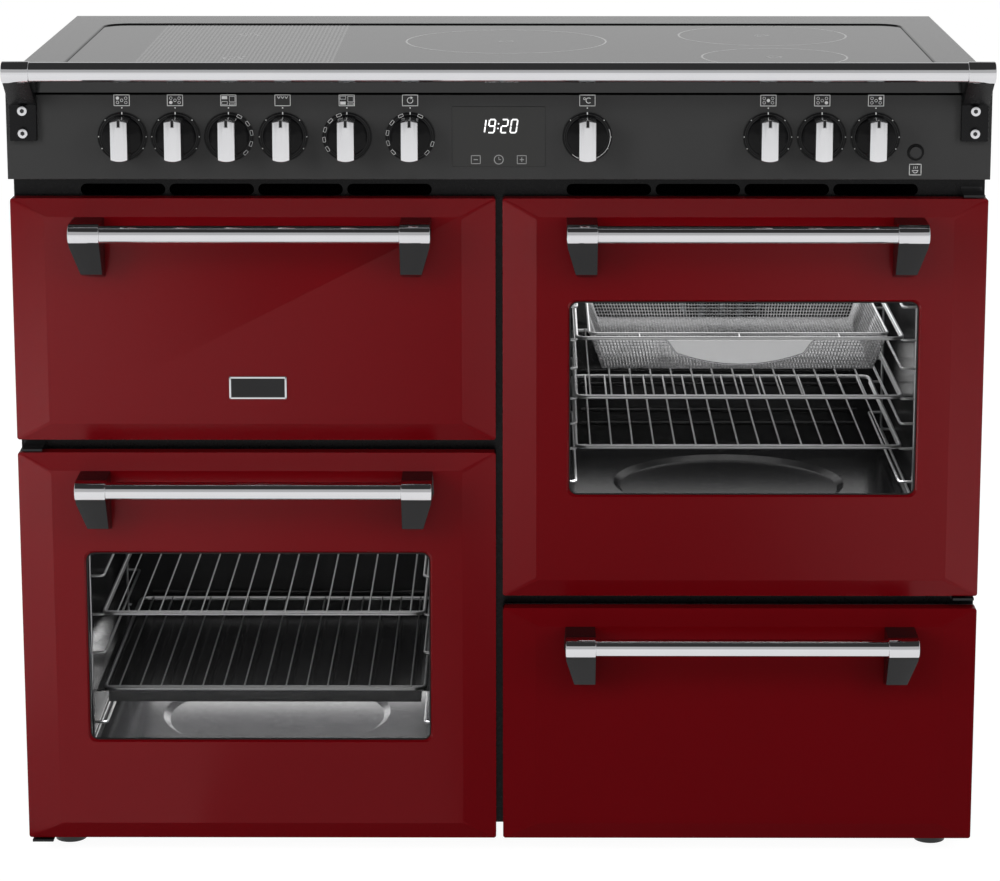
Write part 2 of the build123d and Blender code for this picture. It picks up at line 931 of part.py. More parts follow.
def rail_bolts():
    """The four socket bolts of the rail brackets."""
    bolts = []
    front = panel_y - rail_foot_plate
    for x in rail_places():
        for fall in bolt_falls:
            head = extrude(Circle(bolt_head / 2), bolt_head_height)
            head -= Pos(0, 0, bolt_head_height - bolt_socket_depth) * extrude(
                RegularPolygon(bolt_socket / 2, 6), bolt_socket_depth
            )
            stem = Pos(0, 0, -rail_foot_plate) * extrude(Circle(bolt_stem / 2), rail_foot_plate)
            bolts.append(on_front(head + stem, x, front, hob_height + rail_rise - fall))
    return group(bolts)


def hob_opening(grow, z0, z1):
    """The rounded form of the hob's glass opening, grown by some margin, between two heights."""
    half = glass_half + grow
    y0 = glass_front - grow
    y1 = glass_front + glass_depth + grow
    outline = RectangleRounded(2 * half, y1 - y0, hob_corner + grow)
    return Pos(0, (y0 + y1) / 2, z0) * extrude(outline, z1 - z0)


def hob_frame():
    """The pressed hob surround: a skirt, a flat border and a recess with a ledge for the glass."""
    frame = block(-half_body, half_body, hob_y, back_y, hob_underside, hob_height)
    frame -= block(
        -half_body + sheet, half_body - sheet, hob_y + sheet, back_y - sheet,
        hob_underside - overrun, hob_height - sheet,
    )
    low = hob_height - hob_recess - hob_glass_thickness
    frame += hob_opening(sheet, low - sheet, hob_height - sheet)
    frame -= hob_opening(0, low, hob_height + overrun)
    frame -= hob_opening(-hob_ledge, low - sheet - overrun, low + overrun)
    return frame


def hob_glass():
    """The glass-ceramic cooking surface, lying on the ledge."""
    low = hob_height - hob_recess - hob_glass_thickness
    return hob_opening(-hob_glass_gap, low, low + hob_glass_thickness)


def hob_tray():
    """The tray under the glass that carries the coils and the power boards."""
    top = hob_height - hob_recess - hob_glass_thickness - sheet
    tray = hob_opening(-hob_ledge / 2, top - tray_depth, top)
    tray -= hob_opening(-hob_ledge, top - tray_depth + sheet, top + overrun)
    return tray


def coil_shelf():
    """The height of the power boards' top, on which the coils stand."""
    top = hob_height - hob_recess - hob_glass_thickness - sheet
    return top - tray_depth + sheet + board_height


def induction_coils():
    """A flat wound coil under each cooking zone, on its round carrier with a spring seat."""
    floor = coil_shelf()
    top = hob_height - hob_recess - hob_glass_thickness
    coils = []
    for x, y, radius in zones.values():
        disc = extrude(Circle(radius), coil_height)
        disc -= extrude(Circle(radius * coil_hole_share), coil_height)
        disc = Pos(x, y, top - coil_height - fit_gap) * disc
        post = Pos(x, y, floor) * extrude(
            Circle(radius * coil_post_share), top - coil_height - fit_gap - floor
        )
        coils.append(disc + post)
    return group(coils)


def power_boards():
    """Three power boards on the tray's floor, under the coils."""
    floor = coil_shelf() - board_height
    length = 2 * glass_half * board_length_share
    front = glass_front + glass_depth * board_front_share
    back = front + glass_depth * board_width_share
    boards = []
    for zone in ("left_rear", "centre", "right_rear"):
        x = zones[zone][0]
        boards.append(
            block(
                x - length / 2, x + length / 2, front, back, floor, floor + board_height,
            )
        )
    return group(boards)


def wire_shelf(x, floor, rise):
    """A wire shelf: two front bars, two sides, a back bar and a row of cross wires."""
    z = floor + rise
    half = shelf_width / 2
    y0 = face_y + shelf_front
    y1 = y0 + shelf_depth
    second = y0 + second_bar_set
    shelf = rod((x - half, y0, z), (x + half, y0, z), bar_radius)
    shelf += rod((x - half, second, z), (x + half, second, z), wire_radius, wire_sides)
    shelf += rod((x - half, y1, z), (x + half, y1, z), bar_radius, wire_sides)
    for side in (-1, 1):
        edge = x + side * half
        shelf += rod((edge, y0 - bar_radius, z), (edge, y1 + bar_radius, z), bar_radius, wire_sides)
    first = x - (wire_count - 1) * wire_pitch / 2
    for index in range(wire_count):
        place = first + index * wire_pitch
        shelf += rod((place, second, z), (place, y1, z), wire_radius, wire_sides)
    return shelf


def ladder(x, floor, side, levels):
    """A chrome side ladder: two posts on wall pins, and a bent runner at each shelf level."""
    inner = x + side * shelf_width / 2
    post_x = inner + side * ladder_post_set
    wall = x + side * cavity_width / 2
    y0 = face_y + shelf_front + ladder_front_set
    y1 = face_y + shelf_front + shelf_depth - ladder_front_set
    low = floor + ladder_foot_rise
    high = floor + cavity_height - ladder_top_drop
    frame = None
    for y in (y0, y1):
        post = rod((post_x, y, low - ladder_wire), (post_x, y, high + ladder_wire), ladder_wire, wire_sides)
        frame = post if frame is None else frame + post
        for z in (low, high):
            frame += rod((post_x, y, z), (wall, y, z), ladder_wire, wire_sides)
    for z in (low, high):
        frame += rod((post_x, y0, z), (post_x, y1, z), ladder_wire, wire_sides)
    for level in levels:
        z = floor + level - bar_radius - ladder_wire - bearing_gap
        frame += rod((inner, y0 - ladder_wire, z), (inner, y1 + ladder_wire, z), ladder_wire, wire_sides)
        for y in (y0, y1):
            frame += rod((inner, y, z), (post_x, y, z), ladder_wire, wire_sides)
    return frame


def side_ladders():
    """The four side ladders of the two ovens."""
    ladders = []
    left = compartments()["left_oven_cavity"]
    right = compartments()["right_oven_cavity"]
    low_left = left_shelf_rises[1] - tray_wall - fit_gap
    for side in (-1, 1):
        ladders.append(ladder(left_x, left[1], side, (left_shelf_rises[0], low_left)))
        ladders.append(ladder(right_x, right[1], side, [*right_shelf_rises, basket_rise]))
    return group(ladders)


def oven_shelves():
    """The four wire shelves."""
    left = compartments()["left_oven_cavity"][1]
    right = compartments()["right_oven_cavity"][1]
    shelves = [wire_shelf(left_x, left, rise) for rise in left_shelf_rises]
    shelves += [wire_shelf(right_x, right, rise) for rise in right_shelf_rises]
    return group(shelves)


def roasting_tray():
    """The shallow enamelled tray under the left oven's lower shelf, resting on the ladders by its rim."""
    floor = compartments()["left_oven_cavity"][1]
    rim_top = floor + left_shelf_rises[1] - bar_radius - fit_gap
    rim_low = rim_top - tray_wall
    half = shelf_width / 2 - tray_side_set
    y0 = face_y + shelf_front + bar_radius
    y1 = face_y + shelf_front + shelf_depth - bar_radius
    tray = block(
        left_x - half - tray_rim - tray_side_set, left_x + half + tray_rim + tray_side_set,
        y0, y1, rim_low, rim_top,
    )
    tray += block(left_x - half, left_x + half, y0, y1, rim_top - tray_fall, rim_low)
    tray -= block(
        left_x - half + tray_wall, left_x + half - tray_wall, y0 + tray_wall, y1 - tray_wall,
        rim_top - tray_fall + tray_wall, rim_top + overrun,
    )
    return tray


def basket_form(inset, z0, z1):
    """The sloping form of the basket less an inset, between the depth of its base and its rim."""
    top = Rectangle(basket_top[0] - 2 * inset, basket_top[1] - 2 * inset)
    base = Rectangle(basket_base[0] - 2 * inset, basket_base[1] - 2 * inset)
    return loft([Pos(0, 0, z0) * base, Pos(0, 0, z1) * top], ruled=True)


def fry_basket():
    """The mesh basket: sloping walls under a wire frame that rests on the ladders."""
    floor = compartments()["right_oven_cavity"][1]
    z = floor + basket_rise
    half = shelf_width / 2
    y0 = face_y + shelf_front
    y1 = y0 + shelf_depth
    middle = (y0 + y1) / 2
    body = basket_form(0, -basket_fall, 0)
    body -= basket_form(basket_wall, -basket_fall + basket_wall, fit_gap)
    basket = Pos(right_x, middle, z) * body
    for y in (y0, y1):
        basket += rod((right_x - half, y, z), (right_x + half, y, z), bar_radius, wire_sides)
    for side in (-1, 1):
        edge = right_x + side * half
        basket += rod((edge, y0 - bar_radius, z), (edge, y1 + bar_radius, z), bar_radius, wire_sides)
    for index in range(basket_ties):
        x = right_x + (index - (basket_ties - 1) / 2) * basket_top[0] / basket_ties
        basket += rod((x, y0, z), (x, middle - basket_top[1] / 2 + basket_wall, z), wire_radius, wire_sides)
        basket += rod((x, y1, z), (x, middle + basket_top[1] / 2 - basket_wall, z), wire_radius, wire_sides)
    return basket


def basket_front_plate():
    """The steel grip plate under the basket's front wire: round shoulders and a sagging lower edge."""
    floor = compartments()["right_oven_cavity"][1]
    z = floor + basket_rise - bar_radius
    half = plate_width / 2
    inner = half - plate_shoulder
    rise = plate_fall - plate_sag
    outline = Polyline((-half, 0), (half, 0))
    right = Spline((half, 0), (inner, -rise), tangents=((-1, 0), (-1, -1)))
    bottom = ThreePointArc((inner, -rise), (0, -plate_fall), (-inner, -rise))
    left = Spline((-inner, -rise), (-half, 0), tangents=((-1, 1), (-1, 0)))
    face = make_face([outline, right, bottom, left])
    plate = extrude(face, plate_thickness)
    return on_front(plate, right_x, face_y + shelf_front + plate_thickness / 2, z)


def fan_cover(x, floor):
    """A slotted sheet pan over the fan on an oven's back wall."""
    back = cavity_y + cavity_depth
    z0 = floor + cover_rise
    half = cover_width / 2
    pan = block(x - half, x + half, back - cover_depth, back, z0, z0 + cover_height)
    pan -= block(
        x - half + liner, x + half - liner, back - cover_depth + liner, back + overrun,
        z0 + liner, z0 + cover_height - liner,
    )
    first = x - (cover_slot_count - 1) * cover_slot_pitch / 2
    margin = (cover_height - cover_slot_rows * cover_slot_height) / (cover_slot_rows + 1)
    for row in range(cover_slot_rows):
        low = z0 + margin + row * (cover_slot_height + margin)
        for index in range(cover_slot_count):
            place = first + index * cover_slot_pitch
            pan -= block(
                place - cover_slot / 2, place + cover_slot / 2,
                back - cover_depth - overrun, back - cover_depth + overrun,
                low, low + cover_slot_height,
            )
    return pan


def fan_middle(floor):
    """The height of a fan's shaft above the floor."""
    return floor + cover_rise + cover_height / 2


def oven_fan(x, floor):
    """The fan wheel: a back disc, a hub and straight blades, on a shaft through the back wall."""
    back = cavity_y + cavity_depth
    rear = back - fan_back_gap
    z = fan_middle(floor)
    wheel = rod((x, rear, z), (x, rear - fan_blade, z), fan_radius)
    wheel += rod((x, rear, z), (x, rear - fan_depth, z), fan_hub)
    blade = block(
        fan_hub - overrun, fan_radius, rear - fan_depth, rear - fan_blade / 2,
        -fan_blade / 2, fan_blade / 2,
    )
    for index in range(fan_blades):
        turn = index * 360 / fan_blades
        wheel += Pos(x, 0, z) * Rot(Y=turn) * blade
    wheel += rod((x, rear, z), (x, back + liner + motor_length / 2, z), shaft_radius)
    return wheel


def fan_motors():
    """The two fan motors behind the ovens, each bored for its fan's shaft."""
    motors = []
    back = cavity_y + cavity_depth + liner
    for name in ("left_oven_cavity", "right_oven_cavity"):
        x, floor, _ = compartments()[name]
        z = fan_middle(floor)
        motor = rod((x, back, z), (x, back + motor_length, z), motor_radius)
        motor -= rod(
            (x, back - overrun, z), (x, back + motor_length / 2 + fit_gap, z),
            shaft_radius + bearing_gap,
        )
        motors.append(motor)
    return group(motors)


def heating_elements():
    """The ring element round each fan, and the bent grill element under the grill's roof."""
    pieces = []
    back = cavity_y + cavity_depth
    for name in ("left_oven_cavity", "right_oven_cavity"):
        x, floor, _ = compartments()[name]
        z = fan_middle(floor)
        place = back - fan_depth / 2 - fan_back_gap
        section = Pos(ring_element_radius, 0) * RegularPolygon(element_radius, wire_sides)
        ring = Pos(x, place, z) * Rot(X=90) * revolve(Plane.XZ * section, Axis.Z)
        for side in (-1, 1):
            foot = x + side * ring_element_radius
            ring += rod((foot, place, z), (foot, back, z), element_radius)
        pieces.append(ring)
    x, floor, height = compartments()["grill_cavity"]
    z = floor + height - grill_element_drop
    pitch = grill_element_width / (grill_element_runs - 1)
    y0 = cavity_y + (cavity_depth - grill_element_depth) / 2
    y1 = y0 + grill_element_depth
    first = x - grill_element_width / 2
    element = None
    for index in range(grill_element_runs):
        place = first + index * pitch
        run = rod((place, y0, z), (place, y1, z), element_radius, wire_sides)
        element = run if element is None else element + run
        if index:
            y = y1 if index % 2 else y0
            element += rod((place - pitch, y, z), (place, y, z), element_radius, wire_sides)
    for place in (first, first + grill_element_width):
        element += rod((place, y0, z), (place, y0, floor + height), element_radius, wire_sides)
    pieces.append(element)
    return group(pieces)


def door_hinges():
    """The chassis halves of the hinges: plates with pins for the side-hung doors, lugs for the grill."""
    pieces = []
    axis_y = face_y + hinge_depth
    ends = (
        (left_x, -1, tall_top + hinge_plate_gap, door_bottom - hinge_plate_gap),
        (right_x, 1, door_top + hinge_plate_gap, right_z - hinge_plate_gap),
    )
    for x, side, above, below in ends:
        pin_x = x + side * (column_width / 2 - hinge_inset)
        plate_x0, plate_x1 = sorted(
            (pin_x + side * hinge_plate_outer, pin_x + side * (hinge_plate_outer - hinge_plate_width))
        )
        for level, way in ((above, 1), (below, -1)):
            z0, z1 = sorted((level, level + way * hinge_plate))
            plate = block(plate_x0, plate_x1, face_y + hinge_lap, frame_y, z0, z1)
            rim0, rim1 = sorted((level, level + way * hinge_flange))
            if below == level and x == left_x:
                rim1 = base_height + hinge_flange
                rim0 = level - hinge_plate
            plate += block(plate_x0, plate_x1, frame_y - sheet, frame_y, rim0, rim1)
            plate += rod(
                (pin_x, axis_y, level + way * hinge_plate),
                (pin_x, axis_y, level - way * hinge_pin_length),
                hinge_pin / 2,
            )
            pieces.append(plate)
    drop_y = face_y + drop_hinge_depth
    drop_z = grill_z + drop_hinge_rise
    for lug_x, side in lug_places(left_x):
        lug = block(
            lug_x - drop_lug / 2, lug_x + drop_lug / 2, drop_y, frame_y,
            drop_z - drop_lug_half, drop_z + drop_lug_half,
        )
        lug += rod((lug_x - drop_lug / 2, drop_y, drop_z), (lug_x + drop_lug / 2, drop_y, drop_z), drop_lug_half)
        lug += rod(
            (lug_x, drop_y, drop_z), (lug_x + side * (drop_lug / 2 + hinge_pin_length), drop_y, drop_z),
            hinge_pin / 2,
        )
        pieces.append(lug)
    return group(pieces)


def insulation():
    """Mineral wool slabs above the ovens and the grill, and under the right oven."""
    pieces = []
    for name in ("grill_cavity", "left_oven_cavity", "right_oven_cavity"):
        x, floor, height = compartments()[name]
        top = floor + height + liner
        half = cavity_width / 2
        pieces.append(block(x - half, x + half, cavity_y, cavity_y + cavity_depth, top, top + slab))
    return group(pieces)


nodes = {
    "base_frame": base_frame(),
    "levelling_feet": levelling_feet(),
    "side_panels": side_panels(),
    "back_panel": back_panel() - cable_bore(),
    "terminal_box": terminal_box() - cable_bore(),
    "front_frame_left": front_frame(-1),
    "front_frame_right": front_frame(1),
    "drawer_bay": drawer_bay(),
    "insulation": insulation(),
    "door_seals": oven_seals(),
    "door_hinges": door_hinges(),
    "hob_frame": hob_frame(),
    "hob_glass": hob_glass(),
    "hob_tray": hob_tray(),
    "induction_coils": induction_coils(),
    "power_boards": power_boards(),
    "control_panel": control_panel(),
    "clock_display": clock_display(),
    "knob_switches": knob_switches(),
    "front_rail": front_rail(),
    "rail_brackets": rail_brackets(),
    "rail_bolts": rail_bolts(),
    "side_ladders": side_ladders(),
    "oven_shelves": oven_shelves(),
    "roasting_tray": roasting_tray(),
    "fry_basket": fry_basket(),
    "basket_front_plate": basket_front_plate(),
    "heating_elements": heating_elements(),
    "fan_motors": fan_motors(),
    "push_button": push_button(),
}
for name in ("grill_cavity", "left_oven_cavity", "right_oven_cavity"):
    x, floor, height = compartments()[name]
    oven = name != "grill_cavity"
    nodes[name] = oven_liner(x, floor, height, oven, oven)
nodes["fan_covers"] = group(
    fan_cover(*compartments()[name][:2]) for name in ("left_oven_cavity", "right_oven_cavity")
)
nodes["left_oven_fan"] = oven_fan(*compartments()["left_oven_cavity"][:2])
nodes["right_oven_fan"] = oven_fan(*compartments()["right_oven_cavity"][:2])
nodes.update(swing_door("left", left_x, door_bottom, -1))
nodes.update(swing_door("right", right_x, right_z, 1))
nodes.update(grill_door())
nodes.update(drawer())
for name, x in knob_places.items():
    nodes[name] = on_front(knob(), x, panel_y, knob_z)

for name, shape in nodes.items():
    export_step(shape, f"parts/{name}.step")
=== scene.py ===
"""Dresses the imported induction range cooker: its pieces, finishes, studio and camera."""

import json
import logging
import math
from collections.abc import Callable, Iterable, Sequence
from dataclasses import dataclass
from enum import Enum

import bmesh
import bpy
from mathutils import Matrix, Vector

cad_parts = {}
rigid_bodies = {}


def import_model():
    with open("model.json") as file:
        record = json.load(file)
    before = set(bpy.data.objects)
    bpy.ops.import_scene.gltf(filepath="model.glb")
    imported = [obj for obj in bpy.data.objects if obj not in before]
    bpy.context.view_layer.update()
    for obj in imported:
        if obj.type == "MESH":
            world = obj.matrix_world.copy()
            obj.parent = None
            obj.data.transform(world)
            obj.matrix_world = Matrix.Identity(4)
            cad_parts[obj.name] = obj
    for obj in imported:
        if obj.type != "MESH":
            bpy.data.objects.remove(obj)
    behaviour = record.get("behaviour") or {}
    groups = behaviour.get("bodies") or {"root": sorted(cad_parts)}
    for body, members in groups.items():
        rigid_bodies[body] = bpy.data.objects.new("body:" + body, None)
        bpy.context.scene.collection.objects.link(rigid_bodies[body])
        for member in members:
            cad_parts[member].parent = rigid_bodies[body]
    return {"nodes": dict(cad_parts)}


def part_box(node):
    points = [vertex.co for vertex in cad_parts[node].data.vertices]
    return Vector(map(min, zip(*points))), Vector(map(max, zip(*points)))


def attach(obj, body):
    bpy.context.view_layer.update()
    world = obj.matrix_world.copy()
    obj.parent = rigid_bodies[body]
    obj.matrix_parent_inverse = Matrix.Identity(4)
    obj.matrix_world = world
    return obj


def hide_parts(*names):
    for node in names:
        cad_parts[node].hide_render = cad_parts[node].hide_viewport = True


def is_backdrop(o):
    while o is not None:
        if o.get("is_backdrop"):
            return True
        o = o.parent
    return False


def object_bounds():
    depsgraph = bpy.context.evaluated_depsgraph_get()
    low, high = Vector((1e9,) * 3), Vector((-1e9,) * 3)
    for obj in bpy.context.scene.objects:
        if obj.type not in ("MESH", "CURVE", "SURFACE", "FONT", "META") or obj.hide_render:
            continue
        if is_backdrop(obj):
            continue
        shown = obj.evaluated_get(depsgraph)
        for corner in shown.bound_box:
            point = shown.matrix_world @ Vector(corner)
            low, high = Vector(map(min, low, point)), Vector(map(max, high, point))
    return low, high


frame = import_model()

log = logging.getLogger("cooker")

MM = 0.001
CHASSIS = "chassis"
ENDS = (-1, 1)
FORWARD = Vector((0.0, -1.0, 0.0))
# In millimetres: an oven's sheet and inner height, and how far a knob stands out.
OVEN_SHEET = 1.5
OVEN_HEIGHT = 348.0
KNOB_REACH = 38.0
# How far a cap stands proud of the arm that it closes, and how far it bites into it.
PROUD = 0.3
BITE = 0.2
# Distances under which a copy's points are one, a turned shape's are, and places are equal.
WELD = 0.005
FINE_WELD = 0.001
SNUG = 0.01
# Turns in radians: under the first faces are one, over the second an edge is a corner, and a
# line whose half angle is over the third runs straight on.
FLAT_TURN = math.radians(0.5)
CORNER = 0.5
STRAIGHT = math.radians(88)
# The values between which most of a noise lies.
NOISE = (0.3, 0.7)

Point = tuple[float, float, float]
Flat = tuple[float, float]


def linear(code: str) -> tuple[float, float, float, float]:
    """Turns an sRGB hex value to a linear colour.

    Args:
        code: # and six hex digits.

    Returns:
        Red, green, blue and an alpha of 1.
    """
    values = (int(code[start : start + 2], 16) / 255 for start in (1, 3, 5))
    return (*(v / 12.92 if v <= 0.04045 else ((v + 0.055) / 1.055) ** 2.4 for v in values), 1.0)


def add_node(
    tree: bpy.types.NodeTree, kind: str, inputs: dict, node: bpy.types.Node | None = None,
    **settings: str,
) -> bpy.types.Node:
    """Adds a node with its settings and its inputs.

    Args:
        tree: the node tree.
        kind: the node's type name, without the part that all share.
        inputs: socket name or number to a value, or to another node's output, which is linked.
        node: a node of that kind to fill in place of a new one.
        settings: attributes to set on the node.

    Returns:
        The node.
    """
    node = node or tree.nodes.new(f"ShaderNode{kind}")
    for name, value in settings.items():
        setattr(node, name, value)
    for name, value in inputs.items():
        if isinstance(value, bpy.types.NodeSocket):
            tree.links.new(value, node.inputs[name])
        else:
            node.inputs[name].default_value = value
    return node


def per_metre(size: float) -> float:
    """The noise scale whose features are this many millimetres across."""
    return 1 / (size * MM)


@dataclass(frozen=True)
class Finish:
    """A finish with slight unevenness of colour and gloss and a fine grain.

    Sizes are in millimetres. The colour drifts to the shade over patches, the roughness varies by
    the spread, and stretch draws the grain out along an axis, as brushing does.
    """

    title: str
    colour: str
    shade: str
    roughness: float
    spread: float = 0.04
    metallic: float = 0.0
    specular: float = 0.5
    alpha: float = 1.0
    patch: float = 60.0
    grain: float = 3.0
    depth: float = 0.01
    stretch: Point = (1.0, 1.0, 1.0)
    glow: float = 0.0
    fuzz: float = 0.0

    def make(self) -> bpy.types.Material:
        """Builds the material, unless it is made already.

        Returns:
            The material.
        """
        found = bpy.data.materials.get(self.title)
        if found:
            return found
        material = bpy.data.materials.new(self.title)
        material.use_nodes = True
        tree = material.node_tree
        place = add_node(tree, "TexCoord", {}).outputs["Object"]
        drawn = add_node(tree, "Mapping", {"Vector": place, "Scale": self.stretch}).outputs[0]
        wide = {"Vector": place, "Scale": per_metre(self.patch), "Detail": 3.0}
        fine = {"Vector": drawn, "Scale": per_metre(self.grain), "Detail": 2.0}
        drift = add_node(tree, "TexNoise", wide).outputs["Fac"]
        grit = add_node(tree, "TexNoise", fine).outputs["Fac"]
        colours = {"Factor": drift, 6: linear(self.colour), 7: linear(self.shade)}
        tint = add_node(tree, "Mix", colours, data_type="RGBA").outputs[2]
        low, high = max(self.roughness - self.spread, 0.0), self.roughness + self.spread
        span = {"From Min": NOISE[0], "From Max": NOISE[1], "To Min": low, "To Max": high}
        bump = {"Height": grit, "Strength": 1.0, "Distance": self.depth * MM}
        inputs = {
            "Base Color": tint,
            "Roughness": add_node(tree, "MapRange", {"Value": grit} | span).outputs["Result"],
            "Normal": add_node(tree, "Bump", bump).outputs["Normal"],
            "Metallic": self.metallic,
            "Specular IOR Level": self.specular,
            "Alpha": self.alpha,
            "Sheen Weight": self.fuzz,
        }
        if self.glow:
            inputs |= {"Emission Color": linear(self.colour), "Emission Strength": self.glow}
        add_node(tree, "BsdfPrincipled", inputs, tree.nodes["Principled BSDF"])
        return material


# Vitreous enamel fired on pressed steel: deep red, smooth, with a faint orange peel.
RED_ENAMEL = Finish(
    "vitreous_enamel_red", "#65030a", "#610309", 0.24, 0.03, specular=0.03, grain=4.0, depth=0.004,
    patch=180.0,
)
# Powder-coated steel of the control panel: charcoal with a fine leathery grain.
PANEL_COAT = Finish(
    "powder_coat_charcoal", "#3c3c3c", "#383838", 0.42, 0.08, specular=0.12, grain=2.2, depth=0.05
)
# Gloss enamel of the hob surround: black and mirror-like at a low angle.
BLACK_ENAMEL = Finish(
    "vitreous_enamel_black", "#0d0d0e", "#111112", 0.14, 0.03, grain=5.0, depth=0.003
)
# Satin enamel of the frames and the sides: black with a soft, wide gloss.
FRAME_ENAMEL = Finish("satin_enamel_black", "#08080a", "#0c0c0d", 0.3, 0.05, specular=0.16)
# Easy-clean oven enamel: dark grey and fairly glossy.
OVEN_ENAMEL = Finish(
    "oven_enamel_grey", "#222223", "#1e1e1f", 0.2, 0.03, grain=5.0, depth=0.001
)
# Painted shade: a black, quite matt finish for the shade inside the vent slots and in the gaps
# beside the panel.
PAINTED_SHADE = Finish(
    "heat_proof_black", "#010101", "#020202", 0.9, 0.05, specular=0.0, grain=4.0, depth=0.002
)
# Chrome plate on polished steel: a mirror with the least haze.
CHROME = Finish(
    "polished_chrome", "#d6d6d8", "#cfcfd2", 0.07, 0.02, metallic=1.0, grain=6.0, depth=0.0015
)
# Satin chrome of the knob grips: drawn along the grip, so it softens what it reflects.
SATIN_CHROME = Finish(
    "satin_chrome", "#dcdcde", "#d0d0d2", 0.2, 0.03, metallic=1.0, grain=6.0, depth=0.001,
    stretch=(1.0, 1.0, 0.15),
)
# Black chrome on cast zinc, of the handle arms: near black, with a metal's tinted gloss.
DARK_CHROME = Finish(
    "black_chrome", "#1f1f20", "#262627", 0.2, metallic=0.6, specular=0.4, grain=5.0, depth=0.002
)
# Nickel-plated steel wire of the shelves: pale, with a dulled gloss.
WIRE = Finish(
    "nickel_plated_wire", "#dedede", "#c6c6c8", 0.34, 0.06, metallic=1.0, patch=25.0, grain=4.0,
    depth=0.006,
)
# Brushed stainless steel of the basket's grip plate: bright, streaked from side to side.
BRUSHED_STEEL = Finish(
    "brushed_stainless", "#f0f0f0", "#e2e2e4", 0.4, 0.05, metallic=0.6, grain=1.6, depth=0.002,
    stretch=(0.05, 1.0, 1.0),
)
# Woven stainless mesh of the basket: its wires glint unevenly.
MESH_STEEL = Finish(
    "woven_stainless_mesh", "#c8c8c8", "#8c8c8e", 0.32, 0.1, metallic=1.0, patch=6.0, grain=2.0
)
# Galvanised sheet of the back and the drawer: grey, with a spangle.
GALVANISED = Finish(
    "galvanised_sheet", "#a4a7aa", "#8a8e92", 0.42, 0.1, metallic=0.9, patch=14.0, grain=8.0
)
# Ceramic glass of the hob: black, flat and mirror-like.
CERAMIC_GLASS = Finish(
    "ceramic_glass_black", "#0b0b0c", "#0d0d0e", 0.06, 0.02, grain=12.0, depth=0.0006
)
# White print fired on the panel: pale and matt.
PRINT = Finish("fired_print_white", "#e6e6e6", "#dcdcdc", 0.5, 0.05, grain=1.5, depth=0.002)
# The same print where it is thin and shows grey.
FAINT_PRINT = Finish("fired_print_grey", "#a0a0a0", "#989898", 0.45, 0.05, grain=1.5, depth=0.002)
# Print under the hob's gloss: lighter than the glass.
HOB_PRINT = Finish("glazed_print_white", "#c4c4c4", "#bcbcbc", 0.09, 0.02, grain=12.0, depth=0.0006)
# The same print in the hatching, where it is thinner and fainter.
HATCH_PRINT = Finish(
    "glazed_print_grey", "#7c7c7c", "#747474", 0.09, 0.02, grain=12.0, depth=0.0006
)
# Moulded black BLACK_ABS_AND_SHADE of the feet, button and switches: a satin gloss with a fine spark texture.
# The same black is painted shade in the knob notches, the bolt sockets and the screw slots.
BLACK_ABS_AND_SHADE = Finish("moulded_abs_black", "#101011", "#161617", 0.4, 0.06, grain=1.5)
# Gloss black phenolic of the knob skirts.
PHENOLIC = Finish(
    "gloss_phenolic_black", "#050506", "#070708", 0.18, 0.03, specular=0.14, grain=5.0, depth=0.001
)
# Smoked glass over the clock: a shade paler than the panel's shadows.
CLOCK_GLASS = Finish(
    "smoked_display_glass", "#20201f", "#1c1c1b", 0.16, 0.03, specular=0.4, grain=6.0, depth=0.001
)
# Lit segments of the clock: white, with their own light.
LIT = Finish("lit_segments", "#f2f2f2", "#f2f2f2", 0.5, 0.02, glow=0.9)
# Oven door glass: clear float glass with a slight smoke.
OVEN_GLASS = Finish(
    "float_glass_smoked", "#050505", "#050505", 0.03, 0.01, specular=0.06, alpha=0.06, grain=40.0,
    depth=0.0005,
)
# Silicone rubber of the door seals: dark and dull.
# The same finish is painted shade in the dark bead round each door window.
SILICONE_AND_SHADE = Finish("silicone_rubber", "#161616", "#1c1c1c", 0.6, 0.08, grain=2.0, depth=0.02)
# Mineral wool round the ovens: straw-coloured and fuzzy.
WOOL = Finish(
    "mineral_wool", "#c9bd96", "#a99c74", 0.95, patch=12.0, grain=2.5, depth=0.8, fuzz=0.3
)
# Enamelled copper winding: reddish brown with a broken gloss.
COPPER = Finish(
    "copper_winding", "#a4562c", "#7c3c1c", 0.35, 0.08, metallic=0.9, patch=8.0, grain=2.0,
    depth=0.05,
)
# Glass-epoxy board: green and smooth.
BOARD = Finish(
    "epoxy_board_green", "#1c5230", "#174427", 0.4, 0.08, patch=20.0, grain=2.0, depth=0.05
)
# Oxidised sheath of the heating elements: brown-grey and dull.
SHEATH = Finish(
    "oxidised_sheath", "#3a3633", "#2a2725", 0.6, 0.1, metallic=0.5, patch=20.0, grain=2.0,
    depth=0.02,
)


class Icon(Enum):
    """The symbols over the knobs."""

    ZONE = "the hob, with one of its zones filled"
    OVEN = "the four compartments, with one of them filled"
    GRILL = "a box with three marks under its top edge"
    FAN = "an open ring with an arrowhead"
    HEAT = "a degree sign and a C"


class Facing(Enum):
    """The way in which a lamp inside an oven shines, as the offset of the point that it faces."""

    DOWN = (0.0, 0.0, -1.0)
    OUT = (0.0, -1.0, -0.2)


def rounded_line(points: list[Vector], bend: float, steps: int = 4) -> list[Vector]:
    """Rounds a line's inner corners.

    Args:
        points: the line's points.
        bend: the radius of the corners, or 0 to leave them.
        steps: the number of runs in each corner.

    Returns:
        The points of the rounded line.
    """
    if not bend:
        return points
    line = [points[0]]
    for before, corner, after in zip(points, points[1:], points[2:], strict=False):
        back, onward = (before - corner).normalized(), (after - corner).normalized()
        half = back.angle(onward) / 2
        if half > STRAIGHT:
            line.append(corner)
            continue
        cut = min(bend / math.tan(half), (before - corner).length / 2, (after - corner).length / 2)
        start, end = corner + back * cut, corner + onward * cut
        for step in range(steps + 1):
            share = step / steps
            line.append(start.lerp(corner, share).lerp(corner.lerp(end, share), share))
    return [*line, points[-1]]


